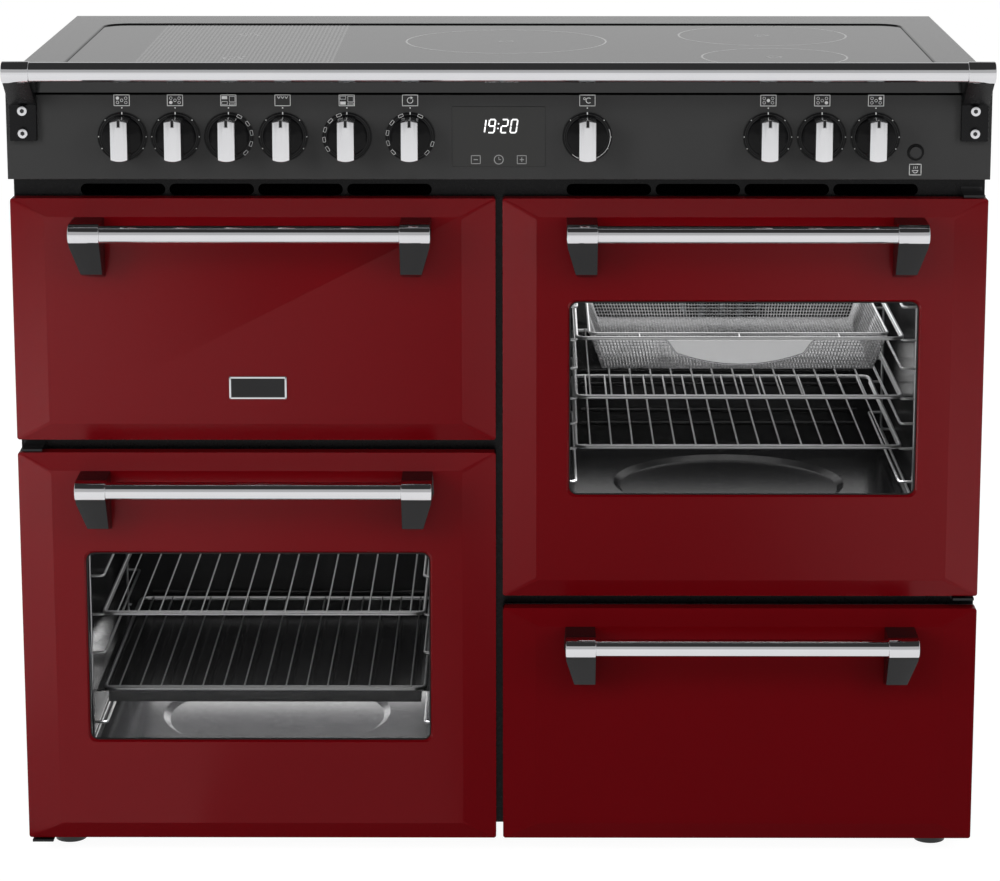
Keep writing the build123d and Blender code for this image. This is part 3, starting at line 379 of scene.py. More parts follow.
def arc_points(middle: Flat, radius: float, start: float, end: float, steps: int) -> list[Flat]:
    """Lists the points of an arc.

    Args:
        middle: its centre.
        radius: its radius.
        start: its first angle, in degrees from the right, counted anticlockwise.
        end: its last angle.
        steps: the number of runs in it.

    Returns:
        The points, from start to end.
    """
    angles = (math.radians(start + (end - start) * step / steps) for step in range(steps + 1))
    return [(middle[0] + radius * math.cos(a), middle[1] + radius * math.sin(a)) for a in angles]


def turned(middle: Flat, radius: float, clock: float) -> Flat:
    """The point at a radius from the middle, clock degrees clockwise from the top."""
    return arc_points(middle, radius, 90 - clock, 90 - clock, 1)[0]


def facing(y: float) -> Callable[[float, float], Point]:
    """A plate's place on an upright plane that faces the front: its corners are X and Z."""
    return lambda x, z: (x, y, z)


def on_front(x: float, y: float, z: float) -> Matrix:
    """Turns a drawing to face the front, with its origin at the point."""
    return Matrix.Translation((x, y, z)) @ Matrix.Rotation(math.radians(90), 4, "X")


def reach(node: str) -> tuple[Vector, Vector]:
    """A CAD node's lowest and highest corners, in millimetres."""
    low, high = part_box(node)
    return low / MM, high / MM


def middle_of(node: str) -> Flat:
    """The X and Z of a CAD node's middle, in millimetres."""
    low, high = reach(node)
    return (low.x + high.x) / 2, (low.z + high.z) / 2


def oven_inside(oven: str) -> Point:
    """The middle X, the rear wall's Y and the floor's Z of an oven, in millimetres."""
    low, high = reach(f"{oven}_oven_cavity")
    return (low.x + high.x) / 2, high.y - OVEN_SHEET, high.z - OVEN_SHEET - OVEN_HEIGHT


def paint(finish: Finish, *nodes: str) -> None:
    """Gives CAD nodes a finish in place of their plain one.

    Args:
        finish: the finish.
        nodes: the nodes' names.
    """
    for node in nodes:
        data = frame["nodes"][node].data
        data.materials.clear()
        data.materials.append(finish.make())


class Shape:
    """A mesh under construction, in millimetres, in the cooker's own frame."""

    def __init__(self, turn: Matrix | None = None) -> None:
        """Starts empty, to be moved by turn, if given, when it is finished."""
        self.mesh, self.turn = bmesh.new(), turn or Matrix()

    @classmethod
    def copy_of(cls, node: str) -> "Shape":
        """Copies a CAD node's mesh, merged and with its flat faces whole.

        Args:
            node: the node's name.

        Returns:
            The copy.
        """
        shape = cls()
        mesh = shape.mesh
        mesh.from_mesh(frame["nodes"][node].data)
        bmesh.ops.scale(mesh, vec=Vector((1, 1, 1)) / MM, verts=mesh.verts[:])
        bmesh.ops.remove_doubles(mesh, verts=mesh.verts[:], dist=WELD)
        everything = {"verts": mesh.verts[:], "edges": mesh.edges[:]}
        bmesh.ops.dissolve_limit(mesh, angle_limit=FLAT_TURN, **everything)
        return shape

    def block(self, low: Point, high: Point, soft: float = 0.0) -> None:
        """Adds a box.

        Args:
            low: its lowest corner.
            high: its highest corner.
            soft: how far its edges are rounded.
        """
        made = bmesh.ops.create_cube(self.mesh, size=1.0)["verts"]
        bmesh.ops.scale(self.mesh, vec=Vector(high) - Vector(low), verts=made)
        bmesh.ops.translate(self.mesh, vec=(Vector(low) + Vector(high)) / 2, verts=made)
        if soft:
            self.soften({edge for vert in made for edge in vert.link_edges}, soft, 2)

    def rod(
        self, start: Point, end: Point, radius: float, sides: int = 24, soft: float = 0.0
    ) -> None:
        """Adds a round bar.

        Args:
            start: the middle of one end.
            end: the middle of the other.
            radius: its radius.
            sides: the number of its sides.
            soft: how far its end edges are rounded.
        """
        line = Vector(end) - Vector(start)
        turn = Vector((0, 0, 1)).rotation_difference(line).to_matrix().to_4x4()
        place = Matrix.Translation((Vector(start) + Vector(end)) / 2) @ turn
        made = bmesh.ops.create_cone(
            self.mesh, cap_ends=True, segments=sides, radius1=radius, radius2=radius,
            depth=line.length, matrix=place,
        )["verts"]
        if soft:
            edges = {edge for vert in made for edge in vert.link_edges}
            self.soften([e for e in edges if any(len(f.verts) > 4 for f in e.link_faces)], soft, 3)

    def soften(self, edges: Iterable[bmesh.types.BMEdge], width: float, steps: int) -> None:
        """Bevels edges round.

        Args:
            edges: the edges.
            width: how far from each edge the bevel starts.
            steps: the number of its faces.
        """
        bmesh.ops.bevel(
            self.mesh, geom=list(edges), offset=width, offset_type="OFFSET", segments=steps,
            profile=0.5, affect="EDGES", material=-1, clamp_overlap=True,
        )

    def plate(
        self, outline: Sequence[Flat], place: Callable[[float, float], Point], depth: Point
    ) -> None:
        """Adds a flat plate.

        Args:
            outline: the corners, in the plate's own two directions.
            place: gives the point in the frame for a corner.
            depth: the way and the distance that the outline is drawn out.
        """
        face = self.mesh.faces.new([self.mesh.verts.new(place(*corner)) for corner in outline])
        self.draw_out(face, depth)

    def draw_out(self, face: bmesh.types.BMFace, depth: Point) -> list[bmesh.types.BMVert]:
        """Extrudes a face.

        Args:
            face: the face.
            depth: the way and the distance.

        Returns:
            The new vertices.
        """
        grown = bmesh.ops.extrude_face_region(self.mesh, geom=[face])["geom"]
        moved = [item for item in grown if isinstance(item, bmesh.types.BMVert)]
        bmesh.ops.translate(self.mesh, vec=Vector(depth), verts=moved)
        return moved

    def lathe(self, profile: Sequence[Flat], centre: Point, sides: int) -> None:
        """Spins a profile round an axis that points forward.

        Args:
            profile: pairs of radius and height along the axis.
            centre: the point of height 0 on the axis.
            sides: the number of steps round.
        """
        side, base = FORWARD.orthogonal().normalized(), Vector(centre)
        before = set(self.mesh.verts)
        verts = [self.mesh.verts.new(base + side * r + FORWARD * h) for r, h in profile]
        edges = [self.mesh.edges.new(pair) for pair in zip(verts, verts[1:], strict=False)]
        bmesh.ops.spin(
            self.mesh, geom=verts + edges, cent=base, axis=FORWARD, angle=2 * math.pi,
            steps=sides, use_merge=True,
        )
        made = [vert for vert in self.mesh.verts if vert not in before]
        bmesh.ops.remove_doubles(self.mesh, verts=made, dist=FINE_WELD)

    def wire(
        self, points: Sequence[Point], radius: float, bend: float = 0.0, sides: int = 8
    ) -> None:
        """Adds a bent wire.

        Args:
            points: the points that it goes through.
            radius: its radius.
            bend: the radius of its corners.
            sides: the number of its sides.
        """
        line = rounded_line([Vector(point) for point in points], bend)
        for index, point in enumerate(line):
            before = point - line[max(index - 1, 0)]
            after = line[min(index + 1, len(line) - 1)] - point
            way = (before.normalized() + after.normalized()).normalized()
            if index == 0:
                turn = Vector((0, 0, 1)).rotation_difference(way).to_matrix().to_4x4()
                ring = bmesh.ops.create_circle(
                    self.mesh, cap_ends=True, segments=sides, radius=radius,
                    matrix=Matrix.Translation(point) @ turn,
                )["verts"]
                face = ring[0].link_faces[0]
                last_way, last_point = way, point
                continue
            grown = bmesh.ops.extrude_face_region(self.mesh, geom=[face])["geom"]
            ring = [item for item in grown if isinstance(item, bmesh.types.BMVert)]
            end = next(item for item in grown if isinstance(item, bmesh.types.BMFace))
            if index > 1:
                self.mesh.faces.remove(face)
            face = end
            turn = last_way.rotation_difference(way).to_matrix().to_4x4()
            move = Matrix.Translation(point) @ turn @ Matrix.Translation(-last_point)
            bmesh.ops.transform(self.mesh, matrix=move, verts=ring)
            last_way, last_point = way, point

    def settle(
        self, name: str, finish: Finish, body: str = CHASSIS, slot: str = "", node: str = "",
        crease: float = 30.0, weigh: bool = False,
    ) -> None:
        """Turns the mesh into an object in metres and puts it on its body.

        Args:
            name: the piece's name.
            finish: its finish.
            body: the body that it rides on.
            slot: the record's material slot; not used.
            node: the CAD node that it replaces.
            crease: the angle between faces, in degrees, over which an edge stays sharp.
            weigh: whether large flat faces keep their own shading next to rounded edges.
        """
        bmesh.ops.transform(self.mesh, matrix=self.turn, verts=self.mesh.verts[:])
        bmesh.ops.scale(self.mesh, vec=Vector((MM, MM, MM)), verts=self.mesh.verts[:])
        bmesh.ops.recalc_face_normals(self.mesh, faces=self.mesh.faces[:])
        data = bpy.data.meshes.new(name)
        self.mesh.to_mesh(data)
        self.mesh.free()
        data.shade_smooth()
        data.set_sharp_from_angle(angle=math.radians(crease))
        data.materials.append(finish.make())
        piece = bpy.data.objects.new(name, data)
        bpy.context.scene.collection.objects.link(piece)
        if weigh:
            modifier = piece.modifiers.new("flat_shading", "WEIGHTED_NORMAL")
            modifier.keep_sharp, modifier.weight = True, 100
        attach(piece, body)
        if node:
            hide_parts(node)
        log.info("%s rides on %s", name, body)


class Print(Shape):
    """Thin print on a flat face: drawn in X and Y, then turned and put in place."""

    def __init__(self, turn: Matrix, thickness: float) -> None:
        """Starts empty, for a place and a thickness of the print."""
        super().__init__(turn)
        self.up = (0.0, 0.0, thickness)

    def patch(self, corners: Sequence[Flat]) -> None:
        """Adds a filled shape with these corners."""
        self.plate(corners, lambda x, y: (x, y, 0.0), self.up)

    def stroke(self, start: Flat, end: Flat, width: float) -> None:
        """Adds a straight line.

        Args:
            start: one end.
            end: the other.
            width: its width.
        """
        a, b = Vector(start), Vector(end)
        side = (b - a).normalized().orthogonal() * width / 2
        self.patch([tuple(a - side), tuple(b - side), tuple(b + side), tuple(a + side)])

    def outline(self, middle: Flat, size: Flat, width: float, tilt: float = 0.0) -> None:
        """Adds the outline of a rectangle.

        Args:
            middle: its middle.
            size: its width and height.
            width: the width of the line.
            tilt: how far it is turned, in degrees.
        """
        a, b = size[0] / 2, size[1] / 2
        turn = Matrix.Rotation(math.radians(tilt), 2)
        placed = [Vector(middle) + turn @ Vector(c) for c in ((-a, -b), (a, -b), (a, b), (-a, b))]
        for first, last in zip(placed, placed[1:] + placed[:1], strict=True):
            more = (last - first).normalized() * width / 2
            self.stroke(tuple(first - more), tuple(last + more), width)

    def disc(self, middle: Flat, radius: float, sides: int = 16) -> None:
        """Adds a filled circle.

        Args:
            middle: its centre.
            radius: its radius.
            sides: the number of its sides.
        """
        made = bmesh.ops.create_circle(
            self.mesh, cap_ends=True, segments=sides, radius=radius,
            matrix=Matrix.Translation((*middle, 0.0)),
        )["verts"]
        self.draw_out(made[0].link_faces[0], self.up)

    def arc(
        self, middle: Flat, radius: float, width: float, start: float = 0.0, end: float = 360.0
    ) -> None:
        """Adds a ring, or part of one.

        Args:
            middle: its centre.
            radius: its radius, to the middle of the line.
            width: the width of the line.
            start: its first angle, in degrees from the right.
            end: its last angle.
        """
        way = Vector((*arc_points((0.0, 0.0), 1.0, start, start, 1)[0], 0.0))
        centre, up = Vector((*middle, 0.0)), Vector(self.up)
        inner, outer = centre + way * (radius - width / 2), centre + way * (radius + width / 2)
        corners = (inner, outer, outer + up, inner + up)
        face = self.mesh.faces.new([self.mesh.verts.new(corner) for corner in corners])
        whole = abs(end - start) >= 360.0
        geometry = [*face.edges, *face.verts]
        if whole:
            self.mesh.faces.remove(face)
        else:
            geometry.insert(0, face)
        step = 5 if radius > 20 else 20
        bmesh.ops.spin(
            self.mesh, geom=geometry, cent=centre, axis=(0, 0, 1), angle=math.radians(end - start),
            steps=max(3, round(abs(end - start) / step)), use_merge=whole,
        )


@dataclass(frozen=True)
class Lamp:
    """A soft lamp. Lengths are in metres, its power is in watts and its spread in degrees.

    A mirrored lamp shows in reflections, and a matt one lights matt surfaces.
    """

    name: str
    place: Point
    aim: Point
    size: Flat
    power: float
    mirrored: bool = False
    matt: bool = True
    spread: float = 180.0

    def hang(self) -> bpy.types.Object:
        """Makes the lamp.

        Returns:
            Its object.
        """
        data = bpy.data.lights.new(self.name, "AREA")
        data.shape = "RECTANGLE"
        data.size, data.size_y = self.size
        data.energy, data.spread = self.power, math.radians(self.spread)
        lamp = bpy.data.objects.new(self.name, data)
        lamp.location, lamp.rotation_mode = self.place, "QUATERNION"
        way = Vector(self.aim) - Vector(self.place)
        lamp.rotation_quaternion = way.to_track_quat("-Z", "Y")
        lamp.visible_glossy, lamp.visible_diffuse = self.mirrored, self.matt
        lamp.visible_camera = False
        bpy.context.scene.collection.objects.link(lamp)
        return lamp


@dataclass(frozen=True)
class OvenLamp:
    """A lamp inside an oven: how far back and down it is, in metres, and the way it faces."""

    oven: str
    place: str
    back: float
    drop: float
    size: Flat
    power: float
    way: Facing = Facing.DOWN
    spread: float = 180.0

    def hang(self) -> None:
        """Makes the lamp."""
        low, high = reach(f"{self.oven}_oven_cavity")
        at = Vector(((low.x + high.x) / 2, low.y, high.z)) * MM + Vector((0, self.back, -self.drop))
        aim, name = at + Vector(self.way.value), f"lamp_{self.oven}_{self.place}"
        Lamp(
            name, tuple(at), tuple(aim), self.size, self.power, mirrored=True, spread=self.spread
        ).hang()


def sheen(name: str, at: Point, height: float, size: Flat, power: float) -> Lamp:
    """A lamp near the floor that faces up and shows in glossy surfaces alone."""
    return Lamp(name, at, (at[0], at[1], height), size, power, mirrored=True, matt=False)


@dataclass
class Studio:
    """The floor, the lamps, the world's light and the camera. Lengths are in metres."""

    eye: Point = (0.0332, -3.998, 1.3901)
    tilt: float = 11.78
    swing: float = 0.2
    lens: float = 122.1
    shift: Flat = (-0.017, -0.1)
    floor_size: float = 30.0
    floor_share: float = 0.82
    floor_glow: float = 1.16
    ambient: float = 0.3
    bands: tuple[Flat, ...] = (
        (0.0, 1.0), (0.03, 1.0), (0.09, 0.6), (0.54, 0.6), (0.6, 0.04), (1.0, 0.04),
    )
    skin_ending: str = "_skin_soft"
    sheens: tuple[Lamp, ...] = (
        sheen("sheen_left_1", (-1.12, -3.65, 0.010), 1.0, (2.15, 6.7), 150.0),
        sheen("sheen_left_2", (-1.28, -3.65, 0.012), 1.0, (1.85, 6.7), 145.0),
        sheen("sheen_left_3", (-1.48, -3.65, 0.014), 1.0, (1.45, 6.7), 140.0),
        sheen("sheen_left_4", (-1.68, -3.65, 0.016), 1.0, (1.05, 6.7), 200.0),
        sheen("sheen_right_1", (1.32, -3.65, 0.010), 1.0, (1.75, 6.7), 200.0),
        sheen("sheen_right_2", (1.5, -3.65, 0.012), 1.0, (1.4, 6.7), 150.0),
        Lamp(
            "sheen_top", (0.0, -3.2, 1.75), (0.0, -0.3, 0.8), (3.0, 0.9), 60.0, mirrored=True,
            matt=False,
        ),
    )
    lamps: tuple[Lamp | OvenLamp, ...] = (
        Lamp("lamp_left", (-2.1, -2.2, 1.5), (-0.35, -0.26, 0.5), (1.0, 1.6), 31.0),
        Lamp("lamp_right", (2.1, -2.2, 1.5), (0.35, -0.26, 0.5), (1.0, 1.6), 20.0),
        Lamp("lamp_front", (0.0, -2.6, 2.6), (0.0, -0.2, 0.5), (2.2, 0.8), 11.0),
        Lamp("lamp_back", (0.0, 2.6, 2.4), (0.0, 0.2, 0.6), (2.0, 1.2), 30.0),
        OvenLamp("left", "roof", 0.2, 0.008, (0.38, 0.34), 0.35),
        OvenLamp("left", "back", 0.41, 0.09, (0.38, 0.14), 0.07, Facing.OUT),
        OvenLamp("left", "floor", 0.17, 0.294, (0.38, 0.32), 2.4, spread=90.0),
        OvenLamp("left", "glow", 0.436, 0.32, (0.36, 0.05), 0.18, Facing.OUT),
        OvenLamp("right", "roof", 0.2, 0.008, (0.38, 0.34), 0.7),
        OvenLamp("right", "back", 0.41, 0.09, (0.38, 0.14), 0.4, Facing.OUT),
        OvenLamp("right", "floor", 0.05, 0.28, (0.38, 0.09), 0.9, spread=140.0),
        OvenLamp("right", "glow", 0.436, 0.27, (0.38, 0.1), 0.1, Facing.OUT),
    )

    @staticmethod
    def seen(tree: bpy.types.NodeTree) -> bpy.types.NodeSocket:
        """Tells rays from the camera, off gloss and through glass from the rest.

        Args:
            tree: the node tree.

        Returns:
            A socket that is 1 for those rays and 0 for the rest.
        """
        path = add_node(tree, "LightPath", {}).outputs
        result = path["Is Camera Ray"]
        for name in ("Is Glossy Ray", "Is Transmission Ray"):
            both = {0: result, 1: path[name]}
            result = add_node(tree, "Math", both, operation="MAXIMUM").outputs[0]
        return result

    def place_camera(self) -> None:
        """Makes the camera at the photograph's viewing angle."""
        data = bpy.data.cameras.new("camera")
        data.lens = self.lens
        data.shift_x, data.shift_y = self.shift
        camera = bpy.data.objects.new("camera", data)
        camera.location = self.eye
        camera.rotation_euler = (math.radians(90 - self.tilt), 0.0, math.radians(self.swing))
        bpy.context.scene.collection.objects.link(camera)
        bpy.context.scene.camera = camera

    def lay_floor(self) -> None:
        """Makes the pale floor, which looks white and keeps the shadow."""
        mesh = bmesh.new()
        bmesh.ops.create_grid(mesh, x_segments=1, y_segments=1, size=self.floor_size / 2)
        data = bpy.data.meshes.new("floor")
        mesh.to_mesh(data)
        mesh.free()
        material = bpy.data.materials.new("pale_floor")
        material.use_nodes = True
        tree = material.node_tree
        tree.nodes.clear()
        share = {0: self.seen(tree), 1: self.floor_share}
        white = {"Color": linear("#ffffff"), "Strength": self.floor_glow}
        both = {
            0: add_node(tree, "Math", share, operation="MULTIPLY").outputs[0],
            1: add_node(tree, "BsdfDiffuse", {"Color": linear("#f6f6f6")}).outputs[0],
            2: add_node(tree, "Emission", white).outputs[0],
        }
        mixed = add_node(tree, "MixShader", both).outputs[0]
        add_node(tree, "OutputMaterial", {"Surface": mixed})
        data.materials.append(material)
        floor = bpy.data.objects.new("floor", data)
        bpy.context.scene.collection.objects.link(floor)
        floor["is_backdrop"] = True

    def light_world(self) -> None:
        """Makes a world that is banded to the camera and in reflections, and plain as light."""
        world = bpy.data.worlds.new("studio")
        bpy.context.scene.world = world
        world.use_nodes = True
        tree = world.node_tree
        way = add_node(tree, "TexCoord", {}).outputs["Generated"]
        height = add_node(tree, "SeparateXYZ", {0: way}).outputs["Z"]
        ramp = add_node(tree, "ValToRGB", {"Fac": height})
        stops = ramp.color_ramp.elements
        while len(stops) < len(self.bands):
            stops.new(0.5)
        for stop, (place, value) in zip(stops, self.bands, strict=True):
            stop.position, stop.color = place, (value, value, value, 1.0)
        plain = (self.ambient, self.ambient, self.ambient, 1.0)
        both = {"Factor": self.seen(tree), 6: plain, 7: ramp.outputs["Color"]}
        shown = add_node(tree, "Mix", both, data_type="RGBA").outputs[2]
        tree.links.new(shown, tree.nodes["Background"].inputs["Color"])

    def shine(self) -> None:
        """Hangs the soft lamps that light the enamelled skins alone, once these are made."""
        skins = bpy.data.collections.new("enamelled_skins")
        for thing in bpy.data.objects:
            if thing.name.endswith(self.skin_ending):
                skins.objects.link(thing)
        for lamp in self.sheens:
            lamp.hang().light_linking.receiver_collection = skins

    def build(self) -> None:
        """Makes everything round the cooker."""
        self.place_camera()
        self.lay_floor()
        self.light_world()
        for lamp in self.lamps:
            lamp.hang()
        bpy.context.scene.view_settings.view_transform = "Standard"


@dataclass
class Handles:
    """The four door handles: a polished bar between two dark arms with polished end caps."""

    cap_width: float = 34.5
    cap_radius: float = 12.0
    bar_radius: float = 10.0
    bar_overlap: float = 1.0
    foot_width: float = 22.0
    fall: float = 56.0
    toe: Flat = (30.0, -48.0)
    shoulder: float = 14.0
    edge: float = 1.0
    doors: tuple[str, ...] = ("grill_door", "left_door", "right_door", "drawer")

    def side_view(self, reach_out: float) -> list[Flat]:
        """Draws an arm from the side.

        Args:
            reach_out: the bar's distance from the door.

        Returns:
            The outline, as pairs of the distance from the door and the height.
        """
        to_toe = Vector(self.toe) - Vector((reach_out, 0.0))
        radius = self.cap_radius - PROUD
        start = math.atan2(to_toe.y, to_toe.x) + math.acos(radius / to_toe.length)
        start = start if start < math.pi / 2 else start - 2 * math.pi
        line = arc_points((reach_out, 0.0), radius, math.degrees(start), 90.0, 10)
        tangent = Vector(line[0])
        cut = (-self.shoulder - self.toe[1]) / (tangent.y - self.toe[1])
        slope = tuple(Vector(self.toe).lerp(tangent, cut))
        return [self.toe, slope, *line, (0.0, radius), (0.0, -self.shoulder), (0.0, -self.fall)]

    def arm(self, shape: Shape, inner: Point, way: int, reach_out: float) -> None:
        """Adds one arm to a mesh.

        Args:
            shape: the mesh.
            inner: the point of its inner side on the door's face, level with the bar.
            way: the side on which its foot narrows.
            reach_out: the bar's distance from the door.
        """
        before = set(shape.mesh.verts)
        x, face, level = inner
        width = (way * self.cap_width, 0.0, 0.0)
        shape.plate(self.side_view(reach_out), lambda out, up: (x, face - out, level + up), width)
        made = set(shape.mesh.verts) - before
        narrow = self.cap_width - self.foot_width
        for vert in made:
            below = (level - self.shoulder - vert.co.z) / (self.fall - self.shoulder)
            if abs(vert.co.x - x - width[0]) < SNUG and below > 0:
                vert.co.x -= way * narrow * min(below, 1.0)
        edges = {e for vert in made for e in vert.link_edges if e.calc_face_angle(0) > CORNER}
        rims = [e for e in edges if any(len(side.verts) > 5 for side in e.link_faces)]
        shape.soften(rims, self.edge, 2)

    def build(self) -> None:
        """Makes every handle."""
        for door in self.doors:
            low, high = reach(f"{door}_handle")
            level = high.z - self.cap_radius
            reach_out = high.y - low.y - self.cap_radius
            y = high.y - reach_out
            arms, caps, bar = Shape(), Shape(), Shape()
            for way, outer in zip(ENDS, (low.x, high.x), strict=True):
                inner = outer - way * self.cap_width
                self.arm(arms, (inner, high.y, level), way, reach_out)
                ends = (inner - way * BITE, y, level), (outer, y, level)
                caps.rod(*ends, self.cap_radius, sides=48, soft=1.2)
            inset = self.cap_width - self.bar_overlap
            ends = (low.x + inset, y, level), (high.x - inset, y, level)
            bar.rod(*ends, self.bar_radius, sides=64)
            node = f"{door}_handle"
            pieces = ((arms, "arms", DARK_CHROME), (caps, "caps", CHROME), (bar, "bar", CHROME))
            for shape, piece, finish in pieces:
                shape.settle(f"{node}_{piece}", finish, door, "chrome", node, crease=35)


@dataclass
class FrontRail:
    """The rail along the front of the hob, its two bolted arms and their caps."""

    cap_radius: float = 12.0
    rail_radius: float = 11.0
    foot_plate: float = 8.0
    shoulder: float = 42.0
    fall: float = 82.0
    gap: float = 0.4
    edge: float = 0.9
    bolt_falls: Flat = (48.0, 73.0)
    bolt_radius: float = 5.5
    bolt_height: float = 4.0
    socket_radius: float = 2.6
    socket_depth: float = 2.0
    socket_rise: float = 0.05
    tuck: float = 3.0

    def build(self) -> None:
        """Makes the rail, its arms, caps and bolts."""
        low, high = reach("rail_brackets")
        rail_low, rail_high = reach("front_rail")
        level, y = high.z - self.cap_radius, low.y + self.cap_radius
        face, front = high.y, high.y - self.foot_plate
        hob = reach("hob_frame")[0]
        hob_y, hob_z = hob.y - self.gap, hob.z - self.gap
        outline = [
            *arc_points((y, level), self.cap_radius - PROUD, 200.0, 40.0, 12),
            (hob_y, level - self.tuck), (hob_y, hob_z), (face, hob_z),
            (face, level - self.fall), (front, level - self.fall), (front, level - self.shoulder),
        ]
        arms, caps, bolts, socket_shades, bar = Shape(), Shape(), Shape(), Shape(), Shape()
        for way, outer, inner in ((-1, low.x, rail_low.x), (1, high.x, rail_high.x)):
            arms.plate(outline, lambda a, b, x=inner: (x, a, b), (outer - inner, 0.0, 0.0))
            ends = (inner - way * BITE, y, level), (outer, y, level)
            caps.rod(*ends, self.cap_radius, sides=48, soft=1.2)
            middle, out = (inner + outer) / 2, front - self.bolt_height
            for fall in self.bolt_falls:
                z = level - fall
                head = (middle, front, z), (middle, out, z)
                bolts.rod(*head, self.bolt_radius, sides=32, soft=0.8)
                # A black hexagon in each bolt head: painted shade inside its socket.
                low_end = middle, front - self.socket_depth, z
                socket_shades.rod(low_end, (middle, out - self.socket_rise, z), self.socket_radius, 6)
        arms.soften([e for e in arms.mesh.edges if e.calc_face_angle(0) > CORNER], self.edge, 2)
        ends = (rail_low.x - 1, y, level), (rail_high.x + 1, y, level)
        bar.rod(*ends, self.rail_radius, sides=64)
        arms.settle("rail_arms", FRAME_ENAMEL, CHASSIS, "chrome", "rail_brackets", crease=35)
        caps.settle("rail_caps", CHROME, CHASSIS, "chrome", "rail_brackets", crease=35)
        bar.settle("rail_bar", CHROME, CHASSIS, "chrome", "front_rail", crease=35)
        bolts.settle("rail_bolt_heads", CHROME, CHASSIS, "steel", "rail_bolts", crease=35)
        socket_shades.settle("rail_bolt_sockets", BLACK_ABS_AND_SHADE, crease=35)


@dataclass
class Knobs:
    """The ten knobs: a gloss skirt under a satin grip with a pointer notch."""

    skirt: tuple[Flat, ...] = (
        (22.0, 1.6), (22.0, 2.8), (21.4, 3.5), (18.5, 4.4), (15.5, 5.4), (12.5, 6.6), (9.0, 8.0),
        (0.0, 8.0),
    )
    shaft_radius: float = 3.0
    width: float = 19.0
    length: float = 46.0
    root: float = 4.4
    seam: float = 31.0
    round_edge: float = 1.3
    notch: Flat = (2.6, 7.0)
    # The block of painted shade at the notch's floor: how far it rises in front of the seam and
    # sinks behind it.
    notch_shade_floor: Flat = (0.3, 0.5)
    shaft: Flat = (6.0, -2.0)
    names: tuple[str, ...] = (
        "knob_rear_left", "knob_front_left", "knob_top_oven", "knob_grill", "knob_left_oven",
        "knob_oven_mode", "knob_oven_heat", "knob_centre", "knob_front_right", "knob_rear_right",
    )

    def plan(self, notched: bool) -> list[Flat]:
        """Draws the grip from the front.

        Args:
            notched: whether it has its pointer notch.

        Returns:
            The outline, round the knob's middle.
        """
        end = self.length / 2
        corner = math.degrees(math.asin(self.width / 2 / end))
        arc = arc_points((0.0, 0.0), end, 90.0 + corner, 90.0 - corner, 6)
        top = arc
        if notched:
            half, low = self.notch[0] / 2, end - self.notch[1]
            edge = math.sqrt(end**2 - half**2)
            cut = [(-half, edge), (-half, low), (half, low), (half, edge)]
            top = [*(p for p in arc if p[0] < -half), *cut, *(p for p in arc if p[0] > half)]
        return [*top, *((-x, -z) for x, z in arc)]

    def build(self) -> None:
        """Makes every knob."""
        for name in self.names:
            (x, z), y = middle_of(name), reach(name)[0].y + KNOB_REACH
            skirt, grip, floor = Shape(), Shape(), Shape()
            skirt.lathe(self.skirt, (x, y, z), sides=64)
            shaft = ((x, y + out, z) for out in self.shaft)
            skirt.rod(*shaft, self.shaft_radius, sides=16)
            before: set[bmesh.types.BMVert] = set()
            layers = ((False, self.root, self.seam), (True, self.seam, KNOB_REACH))
            for notched, start, end in layers:
                before = set(grip.mesh.verts)
                outline = [(x + a, z + b) for a, b in self.plan(notched)]
                grip.plate(outline, facing(y - start), (0.0, start - end, 0.0))
            edges = {edge for vert in set(grip.mesh.verts) - before for edge in vert.link_edges}
            front = y - KNOB_REACH
            rim = [e for e in edges if all(abs(v.co.y - front) < SNUG for v in e.verts)]
            grip.soften(rim, self.round_edge, 3)
            # A black block at the floor of each pointer notch: painted shade inside the notch.
            (wide, long), (rise, sink), seam = self.notch, self.notch_shade_floor, y - self.seam
            top = z + self.length / 2
            low = (x - wide / 2, seam - rise, top - long)
            floor.block(low, (x + wide / 2, seam + sink, top - rise))
            body = f"{name}_body"
            skirt.settle(f"{name}_skirt", PHENOLIC, body, "black_plastic", name, crease=40)
            grip.settle(f"{name}_grip", SATIN_CHROME, body, "chrome", name, crease=32)
            floor.settle(f"{name}_notch", BLACK_ABS_AND_SHADE, body, "black_plastic")


